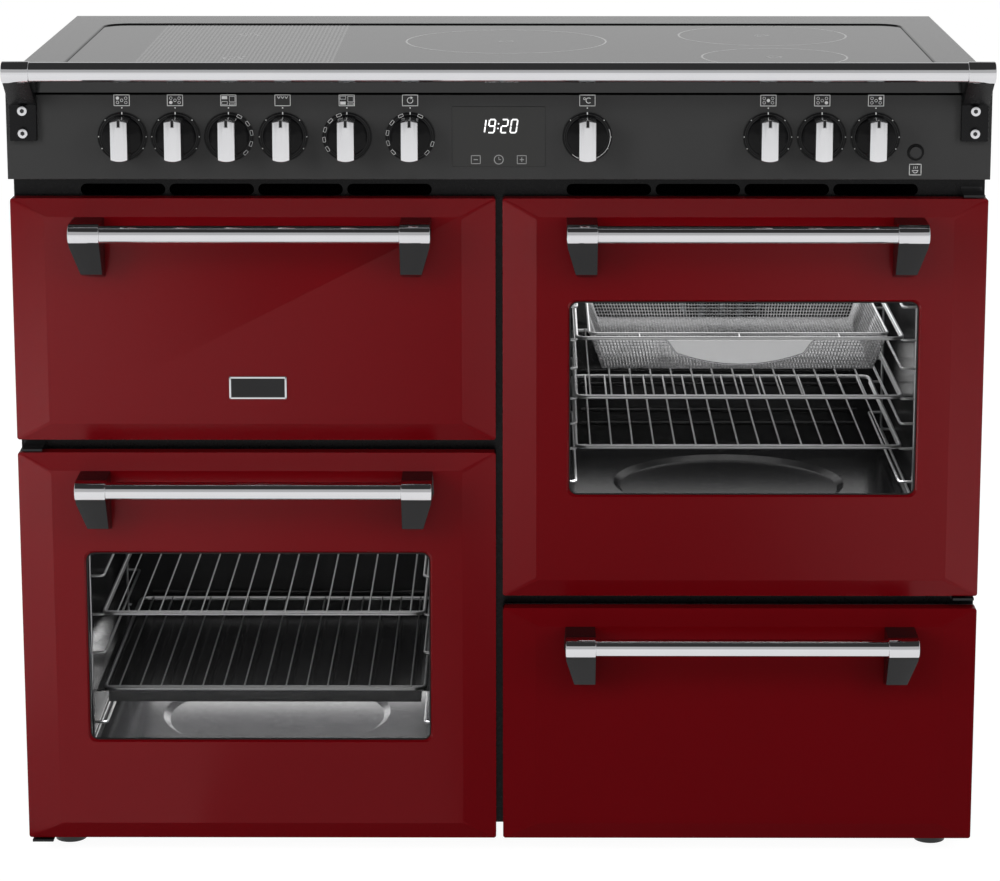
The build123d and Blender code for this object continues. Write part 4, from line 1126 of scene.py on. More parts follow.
@dataclass
class ControlPanel:
    """The panel with its knob bezels, printed symbols, clock and push button."""

    edge: float = 1.2
    long_edge: float = 900.0
    bezel: tuple[Flat, ...] = (
        (27.8, -0.1), (27.8, 0.9), (27.2, 1.35), (25.6, 1.35), (25.0, 0.9), (24.9, 0.35),
        (8.0, 0.3), (8.0, -0.1),
    )
    button_bezel: tuple[Flat, ...] = ((9.4, -0.1), (9.4, 0.5), (8.9, 0.8), (7.5, 0.8), (7.5, -0.1))
    line_radius: float = 23.2
    mark_radius: float = 26.3
    ring_rise: float = 1.3
    line_rise: float = 0.3
    box_radius: float = 25.6
    box: Flat = (5.4, 2.8)
    seam: Flat = (517.0, 0.7)
    icon_rise: float = 40.5
    icon_size: Flat = (17.0, 12.0)
    dot_drop: float = 8.4
    bold: float = 0.7
    fine: float = 0.45
    thickness: float = 0.14
    thin: float = 0.12
    zones: tuple[Flat, ...] = ((-4.6, 2.4), (-4.6, -2.4), (0.0, 0.0), (4.6, -2.4), (4.6, 2.4))
    zone_filled: float = 1.9
    zone_ring: float = 1.5
    grill_marks: tuple[float, ...] = (-4.2, 0.0, 4.2)
    grill_mark: Flat = (1.6, 2.4)
    fan_ring: Flat = (3.1, 0.8)
    arrow: tuple[Flat, ...] = ((-0.4, 1.6), (-0.4, -1.8), (2.2, 0.0))
    degree: tuple[float, ...] = (3.2, 2.0, 1.1, 0.6)
    letter: tuple[float, ...] = (1.4, 2.9, 0.9)
    cells: tuple[tuple[Flat, Flat], ...] = (
        ((-4.25, 3.0), (6.1, 3.4)), ((-4.25, -3.0), (6.1, 3.4)), ((4.25, 1.4), (6.1, 6.0)),
        ((4.25, -4.0), (6.1, 2.0)),
    )
    top_mark: Flat = (1.4, 1.1)
    dot: float = 0.6
    icon_dot: float = 0.8
    dots: tuple[float, ...] = (-120.0, -90.0, -45.0, 45.0, 90.0, 120.0)
    heat_dots: tuple[float, ...] = (-45.0, 45.0, 90.0, 120.0)
    scale: tuple[float, float, float] = (0.5, -130.0, 20.0)
    boxes: tuple[tuple[str, tuple[float, ...]], ...] = (
        ("knob_top_oven", (28.0, 55.0, 80.0, 108.0, 134.0)),
        ("knob_left_oven", (-20.0, -46.0, -72.0, -97.0, -122.0)),
        ("knob_oven_mode", (-24.0, -52.0, -80.0, -106.0, -132.0, 26.0, 108.0, 134.0)),
    )
    icons: tuple[tuple[str, Icon, int], ...] = (
        ("knob_rear_left", Icon.ZONE, 0), ("knob_front_left", Icon.ZONE, 1),
        ("knob_top_oven", Icon.OVEN, 0), ("knob_grill", Icon.GRILL, 0),
        ("knob_left_oven", Icon.OVEN, 1), ("knob_oven_mode", Icon.FAN, 0),
        ("knob_oven_heat", Icon.HEAT, 0), ("knob_centre", Icon.ZONE, 2),
        ("knob_front_right", Icon.ZONE, 3), ("knob_rear_right", Icon.ZONE, 4),
    )
    digit: Flat = (6.6, 14.6)
    bar_gap: float = 0.5
    bar_line: float = 1.5
    digit_starts: tuple[float, ...] = (-21.5, -11.0, 3.0, 13.5)
    digit_rise: float = 12.0
    colon: tuple[Flat, ...] = ((-0.6, -2.6), (-0.6, 2.6))
    colon_radius: float = 0.9
    slant: float = 0.12
    key_drop: float = 25.5
    key_reach: float = 25.5
    key_size: Flat = (10.0, 9.0)
    sign: Flat = (2.4, 0.8)
    clock_ring: float = 5.0
    hands: Flat = (3.2, 2.4)
    lean: float = 0.14
    warm_drop: float = 19.5
    warm_box: Flat = (13.0, 12.0)
    pan: tuple[float, ...] = (1.0, 3.6, 2.8)
    steam: tuple[float, ...] = (-2.0, 0.0, 2.0)
    wisp: tuple[Flat, Flat] = ((0.0, 0.8), (0.6, 3.6))

    def icon(self, sheet: Print, middle: Flat, kind: Icon, chosen: int) -> None:
        """Draws a symbol.

        Args:
            sheet: the print that it is drawn in.
            middle: its middle.
            kind: which symbol it is.
            chosen: the number of its filled zone or compartment.
        """
        x, z = middle
        sheet.outline(middle, self.icon_size, self.bold)
        if kind is Icon.ZONE:
            for index, (a, b) in enumerate(self.zones):
                if index == chosen:
                    sheet.disc((x + a, z + b), self.zone_filled, 14)
                else:
                    sheet.arc((x + a, z + b), self.zone_ring, self.fine)
        elif kind is Icon.OVEN:
            for index, ((a, b), size) in enumerate(self.cells):
                half, rise = size[0] / 2, size[1] / 2
                corners = ((-half, -rise), (half, -rise), (half, rise), (-half, rise))
                if index == chosen:
                    sheet.patch([(x + a + c, z + b + d) for c, d in corners])
                else:
                    sheet.outline((x + a, z + b), size, self.fine)
        elif kind is Icon.GRILL:
            half, deep = self.grill_mark
            top = z + self.icon_size[1] / 2 - half
            for a in (x + mark for mark in self.grill_marks):
                for start in (-half, half):
                    sheet.stroke((a + start, top), (a, top - deep), self.bold)
        elif kind is Icon.FAN:
            radius, line = self.fan_ring
            sheet.arc(middle, radius, line, 70.0, 380.0)
            a, b = turned(middle, radius, 20.0)
            sheet.patch([(a + c, b + d) for c, d in self.arrow])
        else:
            left, up, radius, line = self.degree
            sheet.arc((x - left, z + up), radius, line)
            right, radius, line = self.letter
            sheet.arc((x + right, z), radius, line, 45.0, 315.0)

    def marks(self, sheet: Print, middle: Flat, name: str) -> None:
        """Draws the marks round a knob.

        Args:
            sheet: the print that they are drawn in.
            middle: the knob's middle.
            name: the knob's name.
        """
        (x, z), (half, line) = turned(middle, self.mark_radius, 0.0), self.top_mark
        sheet.stroke((x, z - half), (x, z + half), line)
        boxes, dots = dict(self.boxes).get(name, ()), self.dots
        if name == "knob_oven_heat":
            sheet.arc(middle, self.box_radius, self.scale[0], *self.scale[1:])
            dots = self.heat_dots
        for clock in boxes:
            place = turned(middle, self.box_radius, clock)
            sheet.outline(place, self.box, self.fine, -clock)
        for clock in () if boxes else dots:
            sheet.disc(turned(middle, self.mark_radius, clock), self.dot, 8)

    def symbols(self, face: float) -> None:
        """Draws every symbol over the knobs and every mark round them.

        Args:
            face: the Y of the panel's face.
        """
        sheet = Print(on_front(0.0, face, 0.0), self.thickness)
        rings = Print(on_front(0.0, face - self.ring_rise, 0.0), self.thin)
        lines = Print(on_front(0.0, face - self.line_rise, 0.0), self.thin)
        for name, kind, chosen in self.icons:
            x, z = middle_of(name)
            self.icon(sheet, (x, z + self.icon_rise), kind, chosen)
            sheet.disc((x, z + self.icon_rise - self.dot_drop), self.icon_dot, 8)
            self.marks(rings, (x, z), name)
            lines.arc((x, z), self.line_radius, self.fine)
        sheet.settle("panel_symbols", PRINT)
        rings.settle("bezel_marks", PRINT)
        lines.settle("bezel_lines", DARK_CHROME)

    def digits(self) -> None:
        """Draws the clock's time and its three keys."""
        (x, z), face = middle_of("clock_display"), reach("clock_display")[0].y
        slant = Matrix.Shear("XY", 4, (self.slant, 0.0))
        lit = Print(on_front(x, face, z + self.digit_rise) @ slant, 0.1)
        on_bars = {"1": "bc", "9": "abcdfg", "2": "abged", "0": "abcdef"}
        width, rise = self.digit[0], self.digit[1] / 2
        bars = {
            "a": ((0, rise), (width, rise)), "b": ((width, rise), (width, 0)),
            "c": ((width, 0), (width, -rise)), "d": ((width, -rise), (0, -rise)),
            "e": ((0, -rise), (0, 0)), "f": ((0, 0), (0, rise)), "g": ((0, 0), (width, 0)),
        }
        for digit, start in zip("1920", self.digit_starts, strict=True):
            for bar in on_bars[digit]:
                a, b = Vector(bars[bar][0]), Vector(bars[bar][1])
                gap = (b - a).normalized() * self.bar_gap
                ends = [(start + p.x + p.y * self.lean, p.y) for p in (a + gap, b - gap)]
                lit.stroke(*ends, self.bar_line)
        for shift, level in self.colon:
            lit.disc((shift + level * self.lean, level), self.colon_radius, 10)
        keys, far = Print(on_front(x, face, z - self.key_drop), 0.1), self.key_reach
        (half, line), centre = self.sign, (0.0, 0.0)
        for a in (-far, far):
            keys.outline((a, 0.0), self.key_size, self.bold)
            keys.stroke((a - half, 0.0), (a + half, 0.0), line)
        keys.stroke((far, -half), (far, half), line)
        keys.arc(centre, self.clock_ring, line)
        keys.stroke(centre, (0.0, self.hands[0]), self.bold)
        keys.stroke(centre, (self.hands[1], 0.0), self.bold)
        lit.settle("clock_digits", LIT)
        keys.settle("clock_keys", FAINT_PRINT)

    def warm_icon(self, face: float) -> None:
        """Draws a box with a pan and its steam under the push button.

        Args:
            face: the Y of the panel's face.
        """
        x, z = middle_of("push_button")
        z -= self.warm_drop
        sheet = Print(on_front(0.0, face, 0.0), self.thickness)
        sheet.outline((x, z), self.warm_box, self.bold)
        down, half, radius = self.pan
        sheet.stroke((x - half, z - down), (x + half, z - down), self.bold)
        sheet.arc((x, z - down), radius, self.bold, 180.0, 360.0)
        for a in self.steam:
            sheet.stroke(*((x + a + b, z + c) for b, c in self.wisp), 0.5)
        sheet.settle("warming_symbol", PRINT)

    def build(self) -> None:
        """Makes the panel and everything on it."""
        high, hob = reach("control_panel")[1], reach("hob_frame")[0]
        face = reach("knob_grill")[0].y + KNOB_REACH
        panel, bezels = Shape.copy_of("control_panel"), Shape()
        soft = [
            e for e in panel.mesh.edges
            if abs(e.calc_face_angle(0) - math.pi / 2) < SNUG and e.calc_length() > self.long_edge
            and all(v.co.y < face + 0.5 for v in e.verts)
        ]
        panel.soften(soft, self.edge, 3)
        ending = (CHASSIS, "black_steel", "control_panel")
        panel.settle("panel_front", PANEL_COAT, *ending, crease=35, weigh=True)
        # Black strokes on both sides of the seam between the panel and the hob's surround: painted
        # shade in the gap between them.
        half, line = self.seam
        for name, y, level in (("panel", face, high.z - line), ("surround", hob.y, high.z + line)):
            seam = Print(on_front(0.0, y, 0.0), 0.1)
            seam.stroke((-half, level), (half, level), line * 2)
            seam.settle(f"{name}_joint", PAINTED_SHADE)
        for name in (name for name, _, _ in self.icons):
            x, z = middle_of(name)
            bezels.lathe(self.bezel, (x, face, z), sides=72)
        x, z = middle_of("push_button")
        bezels.lathe(self.button_bezel, (x, face, z), sides=40)
        bezels.settle("knob_bezels", PHENOLIC, CHASSIS, "black_plastic", crease=40)
        self.symbols(face)
        self.digits()
        self.warm_icon(face)
        paint(CLOCK_GLASS, "clock_display")
        paint(BLACK_ABS_AND_SHADE, "push_button", "knob_switches")


@dataclass
class HobTop:
    """The pressed surround, the ceramic glass and the print on it.

    The print's places are given by X and the distance behind the doors' face.
    """

    edge: float = 1.0
    inner_edge: float = 2.6
    sink: float = 4.5
    step: float = 0.3
    glass_edge: float = 0.6
    hatch: tuple[float, float, float, float] = (-417.0, -193.0, 60.0, 508.0)
    stripes: int = 46
    stripe: float = 2.7
    zones: tuple[Point, ...] = ((6.0, 338.0, 120.0), (318.0, 398.0, 102.0), (318.0, 184.0, 84.0))
    ring_line: float = 2.3
    tick: float = 8.5
    tick_line: float = 1.61
    mark_places: tuple[Flat, ...] = ((-305.0, 408.0), (-305.0, 172.0))
    mark: Flat = (15.0, 1.8)

    @staticmethod
    def at_rim(edge: bmesh.types.BMEdge, low: Vector, high: Vector, inner: bool) -> bool:
        """Tells whether an edge of the top face runs along one of its rims.

        Args:
            edge: the edge.
            low: the surround's lowest corner.
            high: its highest corner.
            inner: whether the rim is that of the opening, and not the outer one.

        Returns:
            Whether it does.
        """
        x, y, _ = (edge.verts[0].co + edge.verts[1].co) / 2
        outside = abs(abs(x) - high.x) < 1 or min(y - low.y, high.y - y) < 1
        flat = all(v.co.z > high.z - 0.5 for v in edge.verts) and edge.calc_face_angle(0) > CORNER
        return flat and outside != inner

    def build(self) -> None:
        """Makes the hob."""
        low, high = reach("hob_frame")
        level = reach("hob_glass")[1].z
        rim, glass = Shape.copy_of("hob_frame"), Shape.copy_of("hob_glass")
        edges = rim.mesh.edges
        rim.soften([e for e in edges if self.at_rim(e, low, high, True)], self.inner_edge, 4)
        soft = [e for e in edges if self.at_rim(e, low, high, False)]
        soft += [
            e for e in edges
            if abs(e.verts[0].co.z - e.verts[1].co.z) > 20.0
            and all(abs(abs(v.co.x) - high.x) < 0.1 for v in e.verts)
        ]
        rim.soften(soft, self.edge, 3)
        for vert in rim.mesh.verts:
            if vert.co.z > level + 1.0:
                vert.co.z = max(vert.co.z - self.sink, level + self.step)
        ending = (CHASSIS, "black_enamel", "hob_frame")
        rim.settle("hob_surround", BLACK_ENAMEL, *ending, crease=35, weigh=True)
        top = [
            e for e in glass.mesh.edges
            if all(v.co.z > level - 0.1 for v in e.verts) and e.calc_face_angle(0) > CORNER
        ]
        glass.soften(top, self.glass_edge, 2)
        ending = (CHASSIS, "hob_glass", "hob_glass")
        glass.settle("hob_pane", CERAMIC_GLASS, *ending, crease=35, weigh=True)
        place = Matrix.Translation((0.0, reach("grill_door_skin")[0].y, level))
        bands, rings = Print(place, 0.05), Print(place, 0.09)
        left, right, front, back = self.hatch
        for index in range(self.stripes):
            x = left + index * (right - left) / (self.stripes - 1)
            bands.stroke((x, front), (x, back), self.stripe)
        for x, y, radius in self.zones:
            rings.arc((x, y), radius, self.ring_line)
            rings.arc((x, y), self.tick, self.tick_line)
            rings.stroke((x - self.tick, y), (x + self.tick, y), self.tick_line)
        size, line = self.mark
        for x, y in self.mark_places:
            a, b = size * 0.5, size * 0.6
            rings.arc((x, y), size, line, 40.0, 320.0)
            rings.stroke((x - a, y - b), (x, y + b), line)
            rings.stroke((x, y + b), (x + a, y - b), line)
        bands.settle("zone_hatching", HATCH_PRINT)
        rings.settle("zone_rings", HOB_PRINT)


@dataclass
class Doors:
    """The enamelled door and drawer skins, window beads of painted shade and the blank badge plate.
    """

    edge: float = 0.9
    fold: float = 7.0
    fold_turns: Flat = (5.0, 88.0)
    fold_length: float = 40.0
    pane_edge: float = 14.0
    turn_back: float = 12.0
    # The dark bead of painted shade round each window: its corner radius and thickness, then its
    # depth behind the face.
    window_bead: Flat = (9.0, 0.9)
    window_bead_depth: float = 2.4
    badge: tuple[float, float, float, float] = (-304.5, -239.5, 544.0, 570.0)
    badge_rim: float = 2.4
    badge_height: float = 2.2
    badge_sink: Flat = (0.3, 0.9)
    skins: tuple[tuple[str, str], ...] = (
        ("grill_door_skin", "grill_door"), ("left_door_skin", "left_door"),
        ("right_door_skin", "right_door"), ("drawer_front", "drawer"),
    )

    def skin(self, node: str, body: str) -> None:
        """Makes one skin, with its folds and its rim softened.

        Args:
            node: the CAD node that it replaces.
            body: the body that it rides on.
        """
        shape, front = Shape.copy_of(node), reach(node)[0].y + self.fold
        low, high = self.fold_turns
        soft = [
            e for e in shape.mesh.edges
            if len(e.link_faces) == 2 and low < math.degrees(e.calc_face_angle(0)) < high
            and e.is_convex and e.calc_length() > self.fold_length
            and all(v.co.y < front for v in e.verts)
        ]
        shape.soften(soft, self.edge, 3)
        shape.settle(f"{node}_soft", RED_ENAMEL, body, "red_enamel", node, weigh=True)

    def window(self, door: str) -> tuple[Flat, Flat]:
        """Measures an oven door's window.

        Args:
            door: left or right.

        Returns:
            Its middle, and half its width and height.
        """
        low, high = reach(f"{door}_door_glass")
        half = (high - low) / 2
        return middle_of(f"{door}_door_glass"), (half.x - self.pane_edge, half.z - self.pane_edge)

    def inner(self, door: str) -> None:
        """Makes the inner sheet of an oven door, its window turned back clear of the outer one.

        Args:
            door: left or right.
        """
        node, (middle, half) = f"{door}_door_inner", self.window(door)
        shape = Shape.copy_of(node)
        for vert in shape.mesh.verts:
            a, b = vert.co.x - middle[0], vert.co.z - middle[1]
            if abs(a) < half[0] and abs(b) < half[1]:
                vert.co.x += math.copysign(self.turn_back, a)
                vert.co.z += math.copysign(self.turn_back, b)
        shape.settle(f"{node}_sheet", OVEN_ENAMEL, f"{door}_door", "black_enamel", node, crease=35)

    def make_shade_bead(self, door: str) -> None:
        """Makes the dark bead round a window's edge: painted shade of its recessed inner wall.

        Args:
            door: left or right.
        """
        (x, z), (half_x, half_z) = self.window(door)
        y, (radius, thick) = reach(f"{door}_door_skin")[0].y + self.window_bead_depth, self.window_bead
        line: list[Point] = []
        for a, b, start in ((1, 1, 0.0), (-1, 1, 90.0), (-1, -1, 180.0), (1, -1, 270.0)):
            middle = (x + a * (half_x - radius), z + b * (half_z - radius))
            points = arc_points(middle, radius, start, start + 90.0, 6)
            line += [(c, y, d) for c, d in points]
        trim = Shape()
        trim.wire([*line, line[0]], thick, sides=6)
        trim.settle(f"{door}_window_seal", SILICONE_AND_SHADE, f"{door}_door", crease=60)

    def plate(self) -> None:
        """Makes the blank badge plate in its polished frame on the grill door."""
        (x0, x1, z0, z1), rim = self.badge, self.badge_rim
        face = reach("grill_door_skin")[0].y
        front, back = face - self.badge_height, face + self.badge_sink[0]
        rims, plate = Shape(), Shape()
        for a, b, c, d in (
            (x0, z0, x1, z0 + rim), (x0, z1 - rim, x1, z1),
            (x0, z0, x0 + rim, z1), (x1 - rim, z0, x1, z1),
        ):
            rims.block((a, front, b), (c, back, d), 0.7)
        half = rim / 2
        low = (x0 + half, front + self.badge_sink[1], z0 + half)
        plate.block(low, (x1 - half, back, z1 - half))
        rims.settle("badge_frame", CHROME, "grill_door", crease=40)
        plate.settle("badge_plate", DARK_CHROME, "grill_door", crease=40)

    def build(self) -> None:
        """Makes the skins and their trim."""
        for node, body in self.skins:
            self.skin(node, body)
        for door in ("left", "right"):
            self.make_shade_bead(door)
            self.inner(door)
        self.plate()
        paint(OVEN_GLASS, "left_door_glass", "right_door_glass")
        paint(OVEN_ENAMEL, "grill_door_inner")
        paint(GALVANISED, "drawer_box")


@dataclass
class Racks:
    """The wire shelves, their side ladders, the tray and the mesh basket.

    Heights are given from an oven's floor.
    """

    bar: float = 2.1
    thin: float = 1.0
    corner: float = 14.0
    wires: int = 15
    span: float = 341.6
    second: float = 9.4
    shelf_body: Flat = (374.0, 382.0)
    shelves: tuple[tuple[str, float], ...] = (
        ("left", 179.99), ("left", 88.98), ("right", 147.0), ("right", 88.01),
    )
    ladder: float = 1.6
    post_out: float = 16.0
    wall_out: float = 28.0
    ladder_ends: Flat = (22.0, 324.0)
    runners: tuple[tuple[str, tuple[float, ...]], ...] = (
        ("left", (44.0, 83.0, 129.0, 175.4, 222.0, 268.0)),
        ("right", (44.0, 83.4, 113.0, 142.4, 178.0, 211.4, 250.0)),
    )
    basket_height: float = 216.0
    basket_top: Flat = (344.0, 330.0)
    basket_base: Flat = (313.0, 299.0)
    basket_fall: float = 44.0
    basket_wire: float = 1.6
    mesh_pitch: float = 3.6
    mesh_wire: float = 0.45
    grip_waist: float = 0.81
    grip_shoulder: float = 0.57
    grip_steps: int = 12
    grip_roll: float = 0.9

    @staticmethod
    def loop(x: float, y: float, z: float, half_x: float, half_y: float) -> list[Point]:
        """Lists the corners of a level rectangle, from the middle of its front side and back.

        Args:
            x: the X of its middle.
            y: the Y of its middle.
            z: its height.
            half_x: half its width.
            half_y: half its depth.

        Returns:
            The points.
        """
        turns = ((0, -1), (1, -1), (1, 1), (-1, 1), (-1, -1), (0, -1))
        return [(x + a * half_x, y + b * half_y, z) for a, b in turns]

    def shelf(self, index: int, x: float, y0: float, z: float) -> None:
        """Makes one wire shelf with rounded corners.

        Args:
            index: its number.
            x: the X of its middle.
            y0: the Y of its front bar.
            z: its height.
        """
        half, depth = self.shelf_body[0] / 2, self.shelf_body[1]
        shape = Shape()
        loop = self.loop(x, y0 + depth / 2, z, half, depth / 2)
        shape.wire(loop, self.bar, self.corner, sides=14)
        y = y0 + self.second
        shape.wire([(x - half + 1, y, z), (x + half - 1, y, z)], self.thin, sides=10)
        for step in range(self.wires):
            a, top = x + self.span * (step / (self.wires - 1) - 0.5), z + self.thin
            shape.wire([(a, y0 + 0.5, top), (a, y0 + depth - 0.5, top)], self.thin)
        shape.settle(f"oven_shelf_{index}", WIRE, CHASSIS, "chrome", "oven_shelves", crease=50)

    def ladder_of(self, oven: str, side: int, levels: Sequence[float]) -> None:
        """Makes one side ladder: two posts on wall pins and a bent runner at each level.

        Args:
            oven: left or right.
            side: the side of the oven that it is on.
            levels: the heights of its runners.
        """
        low, high = reach("side_ladders")
        ends = low.y + self.ladder, high.y - self.ladder
        x, _, floor = oven_inside(oven)
        inner = x + side * self.shelf_body[0] / 2
        post, wall = inner + side * self.post_out, inner + side * self.wall_out
        low, high = (floor + height for height in self.ladder_ends)
        shape = Shape()
        for y in ends:
            line = [(wall, y, low), (post, y, low), (post, y, high), (wall, y, high)]
            shape.wire(line, self.ladder, bend=6.0, sides=10)
        for z in (low, high):
            shape.wire([(post, y, z) for y in ends], self.ladder, sides=10)
        for z in (floor + level for level in levels):
            turns = ((post, 0), (inner, 0), (inner, 1), (post, 1))
            line = [(a, ends[end], z) for a, end in turns]
            shape.wire(line, self.ladder, bend=5.0, sides=10)
        name = f"{oven}_oven_ladder_{'west' if side < 0 else 'east'}"
        shape.settle(name, WIRE, CHASSIS, "chrome", "side_ladders", crease=50)

    def basket(self, x: float, y0: float, z: float) -> None:
        """Makes the basket: a rim of wire, sloping woven walls and a woven base.

        Args:
            x: the X of its middle.
            y0: the Y of its front bar.
            z: the height of its rim.
        """
        half, depth = self.shelf_body[0] / 2, self.shelf_body[1]
        y, low = y0 + depth / 2, z - self.basket_fall
        top_x, top_y = (size / 2 for size in self.basket_top)
        base_x, base_y = (size / 2 for size in self.basket_base)
        rim, net = Shape(), Shape()
        outer, inner = self.loop(x, y, z, half, depth / 2), self.loop(x, y, z, top_x, top_y)
        rim.wire(outer, self.bar, self.corner, sides=14)
        rim.wire(inner, self.basket_wire, bend=10.0, sides=10)
        for a in (x + step * top_x * 2 / 3 for step in (-1, 0, 1)):
            for end, wall in ((y0, y - top_y), (y0 + depth, y + top_y)):
                rim.wire([(a, end, z), (a, wall, z)], self.thin)
        mesh = {"radius": self.mesh_wire, "bend": 4.0, "sides": 4}
        for way in (0, 1):
            count = round(self.basket_base[way] / self.mesh_pitch)
            for share in (2 * step / count - 1 for step in range(count + 1)):
                if way:
                    a, b = y + base_y * share, y + top_y * share
                    turns = ((-top_x, b, z), (-base_x, a, low), (base_x, a, low), (top_x, b, z))
                    net.wire([(x + c, d, e) for c, d, e in turns], **mesh)
                else:
                    a, b = x + base_x * share, x + top_x * share
                    turns = ((b, -top_y, z), (a, -base_y, low), (a, base_y, low), (b, top_y, z))
                    net.wire([(c, y + d, e) for c, d, e in turns], **mesh)
        rows = round(self.basket_fall / self.mesh_pitch)
        for share in (step / rows for step in range(1, rows)):
            a, b = base_x + (top_x - base_x) * share, base_y + (top_y - base_y) * share
            net.wire(self.loop(x, y, low + self.basket_fall * share, a, b), **mesh)
        rim.settle("basket_rim", WIRE, CHASSIS, "chrome", "fry_basket", crease=50)
        net.settle("basket_mesh", MESH_STEEL, CHASSIS, "chrome", "fry_basket", crease=60)

    def front_plate(self) -> None:
        """Makes the basket's blank grip plate, with round shoulders and a rolled lower edge."""
        low, high = reach("basket_front_plate")
        x, _ = middle_of("basket_front_plate")
        half, fall, steps = (high.x - low.x) / 2, high.z - low.z, self.grip_steps
        side: list[Flat] = []
        for share in (step / steps for step in range(steps + 1)):
            drop = self.grip_shoulder * fall * (0.5 - 0.5 * math.cos(math.pi * share))
            side.append((half * (1 - share * (1 - self.grip_waist)), high.z - drop))
        for share in (step / steps for step in range(1, steps + 1)):
            rise = (1 - self.grip_shoulder) * fall * (1 - share) ** 2
            side.append((half * self.grip_waist * (1 - share), low.z + rise))
        outline = [*((x - a, z) for a, z in side), *((x + a, z) for a, z in reversed(side[:-1]))]
        shape, roll = Shape(), Shape()
        shape.plate(outline, facing(low.y), (0.0, high.y - low.y, 0.0))
        roll.wire([(a, low.y - 0.2, z) for a, z in outline], self.grip_roll)
        ending = (CHASSIS, "steel", "basket_front_plate")
        shape.settle("basket_grip_plate", BRUSHED_STEEL, *ending, crease=40)
        roll.settle("basket_grip_edge", CHROME, *ending, crease=60)

    def build(self) -> None:
        """Makes every rack."""
        y0 = reach("oven_shelves")[0].y + self.bar
        for index, (oven, height) in enumerate(self.shelves):
            x, _, floor = oven_inside(oven)
            self.shelf(index + 1, x, y0, floor + height)
        for oven, levels in self.runners:
            for side in ENDS:
                self.ladder_of(oven, side, levels)
        x, _, floor = oven_inside("right")
        self.basket(x, y0, floor + self.basket_height)
        self.front_plate()
        paint(OVEN_ENAMEL, "roasting_tray")


@dataclass
class Ovens:
    """The liners with their pressed ribs, the fan covers, the fans and the elements."""

    rib: float = 3.0
    rib_half: float = 175.0
    rib_heights: tuple[float, ...] = (22.0, 39.0, 56.0, 73.0, 90.0)

    def build(self) -> None:
        """Makes the ribs in both ovens' rear walls and paints the rest."""
        for oven in ("left", "right"):
            x, back, floor = oven_inside(oven)
            shape = Shape()
            for z in (floor + height for height in self.rib_heights):
                ends = [(x + end * self.rib_half, back, z) for end in ENDS]
                shape.wire(ends, self.rib, sides=12)
            shape.settle(f"{oven}_oven_ribs", OVEN_ENAMEL, crease=50)
        paint(OVEN_ENAMEL, "left_oven_cavity", "right_oven_cavity", "grill_cavity", "fan_covers")
        paint(GALVANISED, "drawer_bay", "left_oven_fan", "right_oven_fan", "fan_motors")
        paint(SHEATH, "heating_elements")


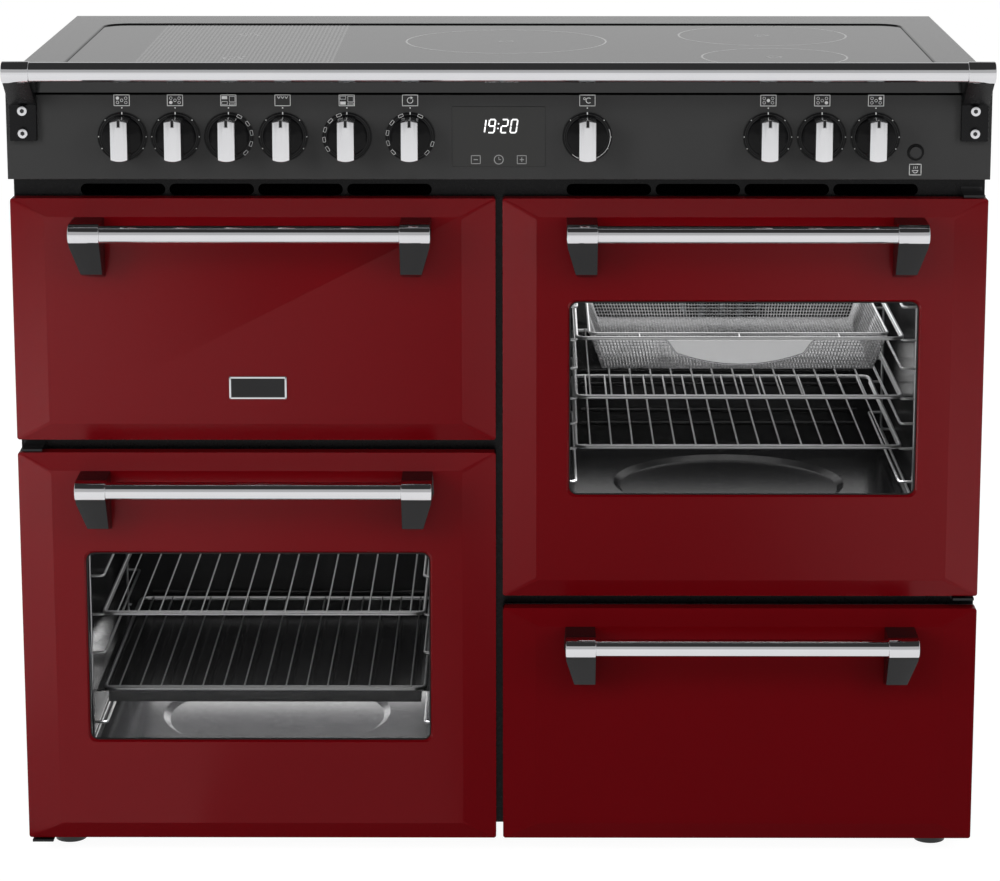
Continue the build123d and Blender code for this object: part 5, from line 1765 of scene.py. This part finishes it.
@dataclass
class Casing:
    """The frames, the outer sheets with their screws, and the hidden parts."""

    screw: float = 4.0
    screw_rise: float = 1.4
    cross: Flat = (2.4, 0.5)
    cross_rise: Flat = (1.3, 1.46)
    back_rows: tuple[float, ...] = (70.0, 290.0, 510.0, 730.0, 870.0)
    side_rows: Flat = (50.0, 870.0)
    inset: float = 14.0
    front_inset: float = 16.0
    strip_margin: float = 6.0
    strip_ends: Flat = (2.0, 542.0)
    slots: tuple[float, ...] = (123.2, 223.2, 323.0, 422.7)
    slot_rise: float = 12.3
    slot_radius: float = 6.6
    slot_half: float = 47.6
    strip_out: float = 0.4
    # How far in front of the frame the block of painted shade behind the slots lies, near side and
    # far side.
    shade_screen: Flat = (0.35, 0.05)
    rim_out: float = 1.4
    rim: Flat = (0.5, 1.0)

    def screws(self) -> None:
        """Makes the side and back sheets' screws, their slots black with painted shade."""
        low, high = reach("back_panel")
        side_low, side_high = reach("side_panels")
        heads, slots = Shape(), Shape()
        crosses, (under, over) = (self.cross, self.cross[::-1]), self.cross_rise
        for x in (low.x + self.inset, 0.0, high.x - self.inset):
            for z in self.back_rows:
                ends = (x, high.y - 1.0, z), (x, high.y + self.screw_rise, z)
                heads.rod(*ends, self.screw, sides=20, soft=0.7)
                # Black crosses on each head: painted shade inside its cross slot.
                for a, b in crosses:
                    slots.block((x - a, high.y + under, z - b), (x + a, high.y + over, z + b))
        for side in ENDS:
            x = side * side_high.x
            left, right = sorted((x + side * under, x + side * over))
            for y in (side_low.y + self.front_inset, side_high.y - self.inset):
                for z in self.side_rows:
                    ends = (x - side, y, z), (x + side * self.screw_rise, y, z)
                    heads.rod(*ends, self.screw, sides=20, soft=0.7)
                    for a, b in crosses:
                        slots.block((left, y - a, z - b), (right, y + a, z + b))
        heads.settle("casing_screws", GALVANISED, crease=40)
        slots.settle("casing_screw_slots", BLACK_ABS_AND_SHADE, crease=40)

    def vents(self) -> None:
        """Makes the vent strip between doors and panel, with painted shade behind its slots."""
        front = reach("front_frame_left")[0].y
        bottom = reach("grill_door_skin")[1].z - self.strip_margin
        top = reach("control_panel")[0].z - 0.5
        level, radius, half = bottom + self.slot_rise, self.slot_radius, self.slot_half
        # dark is a black block behind the strip: painted shade that fills the slots.
        strip, dark = Shape(), Shape()
        rings, (out, line) = Print(on_front(0.0, front - self.rim_out, 0.0), 0.3), self.rim
        sheet = (facing(front - self.strip_out), (0.0, -1.0, 0.0))
        for side in ENDS:
            places = sorted(side * place for place in self.slots)
            low, high = sorted(side * end for end in self.strip_ends)
            near, far = (front - gap for gap in self.shade_screen)
            dark.block((low, near, bottom), (high, far, top))
            for z0, z1 in ((bottom, level - radius), (level + radius, top)):
                strip.plate([(low, z0), (high, z0), (high, z1), (low, z1)], *sheet)
            starts, ends = [x + half for x in places], [x - half for x in places]
            lefts = [arc_points((x - radius, level), radius, -90.0, 90.0, 10) for x in starts]
            rights = [arc_points((x + radius, level), radius, 90.0, 270.0, 10) for x in ends]
            lefts.insert(0, [(low, level - radius), (low, level + radius)])
            rights.append([(high, level + radius), (high, level - radius)])
            for left, right in zip(lefts, rights, strict=True):
                strip.plate([*left, *right], *sheet)
            for x in places:
                inner = half - radius
                for a, start in ((-inner, 90.0), (inner, -90.0)):
                    rings.arc((x + a, level), radius + out, line, start, start + 180.0)
                for z in (level - radius - out, level + radius + out):
                    rings.stroke((x - inner, z), (x + inner, z), line)
        strip.settle("vent_strips", FRAME_ENAMEL, CHASSIS, "black_steel", crease=35)
        dark.settle("vent_screens", PAINTED_SHADE, crease=35)
        rings.settle("vent_rims", FRAME_ENAMEL)

    def build(self) -> None:
        """Dresses the casing."""
        self.screws()
        self.vents()
        paint(FRAME_ENAMEL, "front_frame_left", "front_frame_right", "side_panels", "base_frame")
        paint(GALVANISED, "back_panel", "terminal_box", "hob_tray")
        paint(BLACK_ABS_AND_SHADE, "levelling_feet")
        paint(SILICONE_AND_SHADE, "door_seals")
        paint(DARK_CHROME, "door_hinges")
        paint(WOOL, "insulation")
        paint(COPPER, "induction_coils")
        paint(BOARD, "power_boards")


def extent() -> dict[str, list[float]]:
    """The object's extent now, as plain lists of numbers."""
    low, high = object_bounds()
    return {"low": [float(v) for v in low], "high": [float(v) for v in high]}


def main() -> None:
    """Builds every piece and the studio."""
    logging.basicConfig(level=logging.INFO)
    sizes, studio = {"loaded": extent()}, Studio()
    assemblies = (
        studio, Casing(), HobTop(), ControlPanel(), Knobs(), FrontRail(), Handles(), Doors(),
        Ovens(), Racks(),
    )
    for assembly in assemblies:
        assembly.build()
        log.info("built %s", type(assembly).__name__)
    studio.shine()
    sizes["finished"] = extent()


if __name__ == "__main__":
    main()
